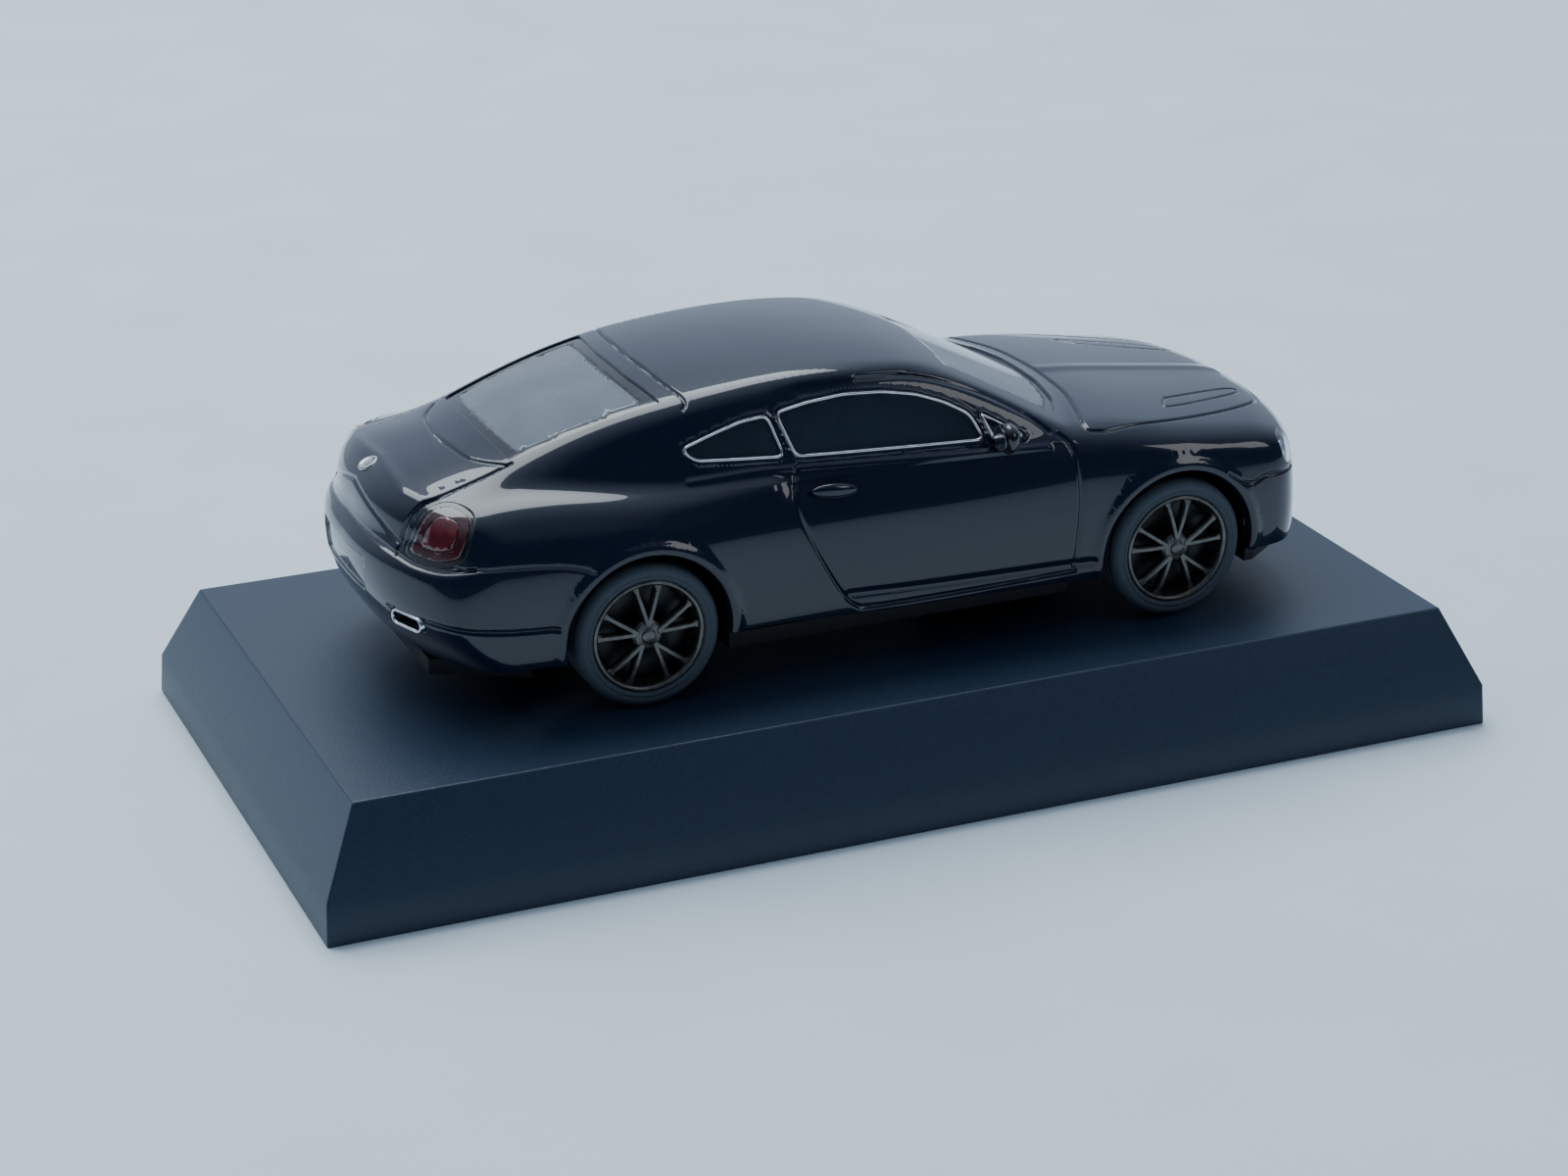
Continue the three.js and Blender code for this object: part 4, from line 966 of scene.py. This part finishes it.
def refined(node, name, surface, bevel, body=CAR, narrower=1.0):
    """A node's shape with its sharp edges rounded."""
    source = bpy.data.objects[node]
    mesh = source.data.copy()
    mesh.transform(Matrix.Diagonal((1, narrower, 1, 1)) @ source.matrix_world)
    mesh.materials.clear()
    mesh.materials.append(surface)
    work = bmesh.new()
    work.from_mesh(mesh)
    bmesh.ops.remove_doubles(work, verts=work.verts, dist=0.002 * MM)
    bmesh.ops.dissolve_limit(work, angle_limit=math.radians(1.5), verts=work.verts, edges=work.edges)
    sharp = [e for e in work.edges if len(e.link_faces) == 2 and e.calc_face_angle(0) > math.radians(28)]
    bmesh.ops.bevel(work, geom=sharp, offset=bevel * MM, segments=3, profile=0.5, affect="EDGES",
                    clamp_overlap=True)
    work.to_mesh(mesh)
    work.free()
    mesh.polygons.foreach_set("use_smooth", [True] * len(mesh.polygons))
    mesh.polygons.foreach_set("material_index", [0] * len(mesh.polygons))
    piece = linked(name, mesh)
    weighted = piece.modifiers.new("weighted", "WEIGHTED_NORMAL")
    weighted.keep_sharp = True
    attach(piece, body)
    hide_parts(node)
    return piece


# --- body, glass and lamps

surface_points, surface_triangles = half_body()
corner = surface_points[surface_triangles[0]]
first_facing = np.cross(corner[1] - corner[0], corner[2] - corner[0])
if first_facing @ body_normals(corner.mean(0)[None])[0] < 0:
    surface_triangles = surface_triangles[:, ::-1]

LIP = [(0.05, 0.02, 0.4), (0.1, 0.1, 0.8), (0.12, 0.95, 1.0)]
shell, shell_faces = surface_points, surface_triangles
for hole in HOLES.values():
    shell, shell_faces = clipped(shell, shell_faces, hole)
shell_normals = body_normals(shell)
height = relief(shell)
shading = relief_normals(shell, shell_normals, height)
shell = shell + shell_normals * height[:, None]
shell, shell_faces, shading = with_returns(shell, shell_faces, shell_normals, shading, LIP)
shading[shell[:, 1] == 0, 1] = 0
shading /= np.linalg.norm(shading, axis=1, keepdims=True)
body = add("body_finish", *both_halves(shell, shell_faces), PAINT, covers=["body_shell"])
left_shading = shading[shell[:, 1] != 0] * [1, -1, 1]
if len(body.data.vertices) == len(shading) + len(left_shading):
    body.data.normals_split_custom_set_from_vertices(np.vstack([shading, left_shading]).tolist())


def patch(field, lift, depth, within=None):
    """A thin solid on the body surface inside an outline, right half only."""
    points, triangles = clipped(surface_points, surface_triangles, field, keep_inside=True)
    if within is not None:
        points, triangles = clipped(points, triangles, within)
    return thick(points, triangles, body_normals(points), lift, depth)


clear_front = outline_field(CLEAR_FRONT, from_above, on_front_top)
clear_rear = outline_field(CLEAR_REAR, from_above, on_rear_top)
PANE = (-0.2, 0.45)
side_panes = merge(*[both_halves(*patch(HOLES[name], *PANE)) for name in SIDE_WINDOWS])
glass = add("side_glass", *side_panes, GLASS, covers=["glazing"])
screens = merge(both_halves(*patch(clear_front, *PANE)), both_halves(*patch(clear_rear, *PANE)))
add("screen_glass", *screens, SCREEN)
borders = merge(both_halves(*patch(HOLES["windscreen"], *PANE, clear_front)),
                both_halves(*patch(HOLES["rear window"], *PANE, clear_rear)))
add("window_borders", *borders, GLOSS)

bead = round_section(0.11, 0.12)


def shrunk(lamp, factor):
    return {**lamp, "across": lamp["across"] * factor, "up": lamp["up"] * factor}


def pair(name, shape, surface, covers=None):
    add(f"{name}_right", *shape, surface, covers=[f"{covers}_right"] if covers else ())
    add(f"{name}_left", *mirrored(*shape), surface, covers=[f"{covers}_left"] if covers else ())


for label, outline in (("door", DOOR_GLASS), ("quarter", QUARTER_GLASS), ("triangle", FRONT_TRIANGLE)):
    line = side_points(resampled(outline, 0.3))
    pair(f"{label}_trim", sweep(line, bead, body_normals(line)), SILVER)
tail_inner = tail_lamp_field(-0.42)
tail_core = tail_lamp_field(-1.15)
pair("tail_lamp_bezel", patch(HOLES["tail lamp"], 0.02, 0.6, tail_inner), GLOSS, "tail_lamp")
pair("tail_lamp_lens", patch(tail_inner, 0.12, 0.6, tail_core), RED)
pair("tail_lamp_core", patch(tail_core, 0.2, 0.6), RED_BRIGHT)
for label, lamp in (("headlamp_outer", OUTER_LAMP), ("headlamp_inner", INNER_LAMP)):
    pair(f"{label}_lens", patch(lamp_field(lamp), 0.0, 0.3), LENS, label)
    pair(f"{label}_bowl", patch(lamp_field(lamp), -0.75, 0.25), STEEL)
    bulb = patch(lamp_field(shrunk(lamp, 0.5)), -0.42, 0.3, lamp_field(shrunk(lamp, 0.3)))
    pair(f"{label}_bulb", bulb, SILVER)

# --- small body parts

HANDLE = (-4.4, -13.68, 14.2)
handle = ellipsoid(HANDLE, (1.8, 0.38, 0.56), 36, 24)
handle = (turned(handle[0], "Y", 5, HANDLE), handle[1])
pair("door_handle", handle, PAINT)

mirror_head = ellipsoid((0, 0, 0), (1.0, 1.35, 1.12), 36, 24)
head = mirror_head[0]
head[:, 0] = np.where(head[:, 0] < 0, head[:, 0] * 0.55, head[:, 0])
head[:, 2] *= 1 - 0.12 * head[:, 1]
mirror_arm = sweep(smooth_path([(9.2, -12.3, 15.25), (9.1, -13.2, 15.6), (9.0, -14.0, 16.1)], steps=6),
                   round_section(0.62, 0.34, 14), UPRIGHT, closed=False)
pair("door_mirror", merge((head + [8.9, -14.55, 16.6], mirror_head[1]), mirror_arm), GLOSS, "door_mirror")
reflector = ellipsoid((8.37, -14.55, 16.6), (0.06, 1.12, 0.9), 36, 12)
pair("mirror_glass", reflector, SILVER)



def exhaust_oval():
    """A stadium outline just outside the tail, on the right."""
    width, height = EXHAUST["half_width"], EXHAUST["half_height"]
    points = []
    for a in np.linspace(0, 2 * math.pi, 64, endpoint=False):
        flat = math.copysign(width - height, math.cos(a)) if abs(math.cos(a)) > 1e-6 else 0
        across, up = flat + height * math.cos(a), height * math.sin(a)
        points.append((-35.5, -EXHAUST["y"] + across, EXHAUST["z"] + up))
    return resampled(np.array(points), 0.2)


oval = exhaust_oval()
centre = np.array([-35.4, -EXHAUST["y"], EXHAUST["z"]])
BACKWARDS = np.array([-1.0, 0, 0])
TIP_SECTION = [(-0.1, 0.1), (0.0, 0.18), (0.1, 0.12), (0.14, 0.0), (0.14, -1.6), (-0.08, -1.6)]
tip = sweep(oval, TIP_SECTION, BACKWARDS)
tip = (turned(tip[0], "Z", 20, centre), tip[1])
pair("exhaust_tip", tip, SILVER, "exhaust_trim")
inside = oval + [1.0, 0, 0]
pair("exhaust_inside", (turned(inside, "Z", 20, centre), [list(range(len(inside)))]), BLACK)

badge_at = projected(np.array([[-30.0, 0, 14.6]]), np.array([-0.95, 0, 0.31]), 10)
badge_normal = Vector(body_normals(badge_at)[0])
disc, disc_faces = lathe([(0.01, -0.3), (0.8, -0.3), (0.8, 0.05), (0.74, 0.12), (0.6, 0.12), (0.52, 0.06),
                          (0.01, 0.14)], 48, closed=False)
turn = np.array(badge_normal.to_track_quat("Z", "Y").to_matrix())
add("boot_badge_disc", disc @ turn.T + badge_at[0], disc_faces, STEEL, covers=["boot_badge"])



def arch_liner(x):
    """A half drum over a wheel, closed on its inner side."""
    radius, outer_y, inner_y = 6.55, -13.0, -9.7
    arc = np.radians(np.linspace(-12, 192, 41))
    points = [(x + radius * math.cos(a), y, AXLE_HEIGHT + radius * math.sin(a))
              for a in arc for y in (outer_y, inner_y)]
    faces = [[2 * i, 2 * i + 1, 2 * i + 3, 2 * i + 2] for i in range(len(arc) - 1)]
    faces.append([2 * i + 1 for i in range(len(arc))])
    return points, faces


pair("front_arch_liner", arch_liner(FRONT_AXLE_X), BLACK)
pair("rear_arch_liner", arch_liner(REAR_AXLE_X), BLACK)

# --- parts kept close to their solids

refined("chassis_plate", "chassis_plate_finish", BLACK, 0.4, narrower=0.88)
for node, surface, bevel in (
    ("display_base", BASE, 0.28), ("interior_tub", CABIN_WITH_PAINTED_FILL, 0.2),
    ("steering_wheel", CABIN_WITH_PAINTED_FILL, 0.08), ("main_grille", BLACK, 0.06), ("lower_grille", BLACK, 0.06),
    ("front_splitter", BLACK, 0.16), ("base_screw_front", STEEL, 0.06), ("base_screw_rear", STEEL, 0.06),
    ("chassis_screw_front", STEEL, 0.06), ("chassis_screw_rear", STEEL, 0.06),
):
    refined(node, f"{node}_finish", surface, bevel)

# --- wheels

OUTER_Y = reach("front_tyre_right")[1] / 2 + abs(middle("front_tyre_right")[1])
TYRE_WIDTH = reach("front_tyre_right")[1]


def tyre_shape():
    """Tread grooves, rounded shoulders and a moulded ring on each side; the outer face is at height 0."""
    r, w = TYRE_RADIUS, TYRE_WIDTH
    outer = [(RIM_RADIUS - 0.05, -0.5), (RIM_RADIUS + 0.02, -0.2), (RIM_RADIUS + 0.16, -0.06),
             (RIM_RADIUS + 0.34, 0.0), (RIM_RADIUS + 0.4, -0.07), (RIM_RADIUS + 0.46, -0.07),
             (RIM_RADIUS + 0.52, -0.01), (r - 0.42, -0.08), (r - 0.2, -0.24), (r - 0.05, -0.48), (r, -0.75)]
    tread = []
    for groove in (1.15, w / 2 - 0.25, w / 2 + 0.25, w - 1.15):
        floor_radius = r - 0.13
        tread += [(r, -groove + 0.12), (floor_radius, -groove + 0.07), (floor_radius, -groove - 0.07),
                  (r, -groove - 0.12)]
    inner = [(a, -w - b) for a, b in outer[::-1]]
    return lathe(outer + tread + inner, 120)


def rim_shape():
    """Lip, barrel and inner flange."""
    r, w = RIM_RADIUS, TYRE_WIDTH
    profile = [(r - 0.42, -0.55), (r - 0.36, -0.2), (r - 0.24, -0.1), (r - 0.08, -0.1), (r, -0.2),
               (r, -w + 0.3), (r - 0.3, -w + 0.2), (r - 0.45, -w + 0.6), (r - 0.62, -1.6), (r - 0.5, -0.9)]
    return lathe(profile, 96)


def spokes_shape():
    """Ten slim spokes in five pairs, bowed and tapered towards the rim."""
    parts = []
    for pair_number in range(5):
        for side in (-1, 1):
            angle = math.radians(72 * pair_number + 18 + side * 13.5)
            rows = []
            for t in np.linspace(0, 1, 9):
                radius = 0.75 + t * (RIM_RADIUS - 0.42 - 0.75)
                half = 0.21 - 0.02 * t + 0.16 * max(t - 0.88, 0) / 0.12
                height = -0.2 + 0.1 * math.sin(math.pi * t) - 0.1 * t
                skew = -side * 0.17 * (1 - t)
                section = [(-half, -0.75), (-half, -0.16), (-half * 0.6, -0.02), (half * 0.6, -0.02),
                           (half, -0.16), (half, -0.75)]
                rows.append([(radius, a + skew, height + b) for a, b in section])
            points = np.array(rows).reshape(-1, 3)
            faces = [[i * 6 + k, i * 6 + (k + 1) % 6, (i + 1) * 6 + (k + 1) % 6, (i + 1) * 6 + k]
                     for i in range(8) for k in range(6)]
            faces += [list(range(6))[::-1], [48 + k for k in range(6)]]
            parts.append((turned(points, "Z", math.degrees(angle)), faces))
    hub = lathe([(0.01, -0.22), (0.5, -0.24), (0.95, -0.34), (1.15, -0.5), (1.15, -1.2), (0.01, -1.2)], 48,
                closed=False)
    return merge(*parts, hub)


def cap_shape():
    return lathe([(0.01, -0.1), (0.4, -0.11), (0.5, -0.15), (0.56, -0.24), (0.56, -0.4)], 40, closed=False)


def backing_shape():
    """A dark web behind the spokes."""
    return lathe([(0.8, -1.75), (3.5, -1.75), (3.62, -1.8), (3.62, -1.95), (0.8, -1.95)], 64)


def placed(shape, side, x):
    """Turns a wheel shape's axis to the side: height 0 becomes the wheel's outer face."""
    points, faces = np.asarray(shape[0]), shape[1]
    moved = np.stack([x + points[:, 0], side * (OUTER_Y + points[:, 2]), AXLE_HEIGHT + points[:, 1]], 1)
    if side > 0:
        faces = [list(f)[::-1] for f in faces]
    return moved, faces


for end, x, wheelset in (("front", FRONT_AXLE_X, FRONT), ("rear", REAR_AXLE_X, REAR)):
    for label, side in (("right", -1), ("left", 1)):
        name = f"{end}_{label}"
        add(f"{name}_tyre", *placed(tyre_shape(), side, x), RUBBER_WITH_PAINTED_FILL, wheelset, [f"{end}_tyre_{label}"])
        rim = add(f"{name}_rim", *placed(rim_shape(), side, x), GUNMETAL, wheelset, [f"{end}_rim_{label}"])
        add(f"{name}_spokes", *placed(spokes_shape(), side, x), GUNMETAL, wheelset, smooth=False)
        add(f"{name}_cap", *placed(cap_shape(), side, x), GUNMETAL, wheelset)
        add(f"{name}_backing", *placed(backing_shape(), side, x), BLACK, wheelset)
    refined(f"{end}_axle", f"{end}_axle_finish", STEEL, 0.08, wheelset)

# --- floor, light and camera


def floor():
    half = 1.5
    mesh = bpy.data.meshes.new("table")
    corners = [(-half, -half, 0), (half, -half, 0), (half, half, 0), (-half, half, 0)]
    mesh.from_pydata(corners, [], [(0, 1, 2, 3)])
    mesh.materials.append(TABLE)
    linked("table", mesh)


def area_light(name, place, target, size, power, colour):
    data = bpy.data.lights.new(name, "AREA")
    data.shape = "RECTANGLE"
    data.size, data.size_y = size
    data.energy = power
    data.color = colour
    light = linked(name, data)
    light.location = place
    light.rotation_euler = (Vector(target) - Vector(place)).to_track_quat("-Z", "Y").to_euler()


def room():
    """A world that is pale overhead and behind, and dark towards the camera's side."""
    world = bpy.data.worlds.new("room")
    bpy.context.scene.world = world
    world.use_nodes = True
    nodes, links = world.node_tree.nodes, world.node_tree.links
    place = nodes.new("ShaderNodeTexCoord")
    parts = nodes.new("ShaderNodeSeparateXYZ")
    links.new(place.outputs["Generated"], parts.inputs["Vector"])
    lean = nodes.new("ShaderNodeMath")
    lean.operation = "MULTIPLY_ADD"
    lean.inputs[1].default_value = 0.75
    links.new(parts.outputs["Y"], lean.inputs[0])
    links.new(parts.outputs["Z"], lean.inputs[2])
    ramp = colour_ramp(nodes, (0.12, (0.05, 0.078, 0.13)), (0.85, (0.56, 0.68, 0.86)))
    links.new(lean.outputs["Value"], ramp.inputs["Fac"])
    links.new(ramp.outputs["Color"], nodes["Background"].inputs["Color"])
    nodes["Background"].inputs["Strength"].default_value = 0.9


def camera():
    """A three-quarter view of the tail's right side from a long lens."""
    azimuth, elevation, roll = math.radians(-23.12), math.radians(22.06), math.radians(-0.18)
    shift_right, shift_up, distance = 2.351, -1.897, 263.5
    back = Vector((math.sin(azimuth) * math.cos(elevation), -math.cos(azimuth) * math.cos(elevation),
                   math.sin(elevation)))
    right = Vector((0, 0, 1)).cross(back).normalized()
    up = back.cross(right)
    right_rolled = right * math.cos(roll) + up * math.sin(roll)
    up_rolled = up * math.cos(roll) - right * math.sin(roll)
    place = Vector((0, 0, 8)) + back * distance - right_rolled * shift_right - up_rolled * shift_up
    data = bpy.data.cameras.new("view")
    data.sensor_width = 36
    data.lens = 77.95
    data.clip_start = 0.01
    data.clip_end = 20
    seen = linked("view", data)
    turn = Matrix((right_rolled, up_rolled, back)).transposed().to_4x4()
    seen.matrix_world = Matrix.Translation(place * MM) @ turn
    bpy.context.scene.camera = seen


floor()
room()
area_light("overhead", (-0.05, 0.3, 0.62), (0, 0, 0), (0.7, 0.45), 5.5, (0.86, 0.95, 1.0))
area_light("front_fill", (0.5, -0.5, 0.45), (0, 0, 0), (0.25, 0.25), 0.5, (0.95, 0.98, 1.0))
camera()

bpy.context.view_layer.update()
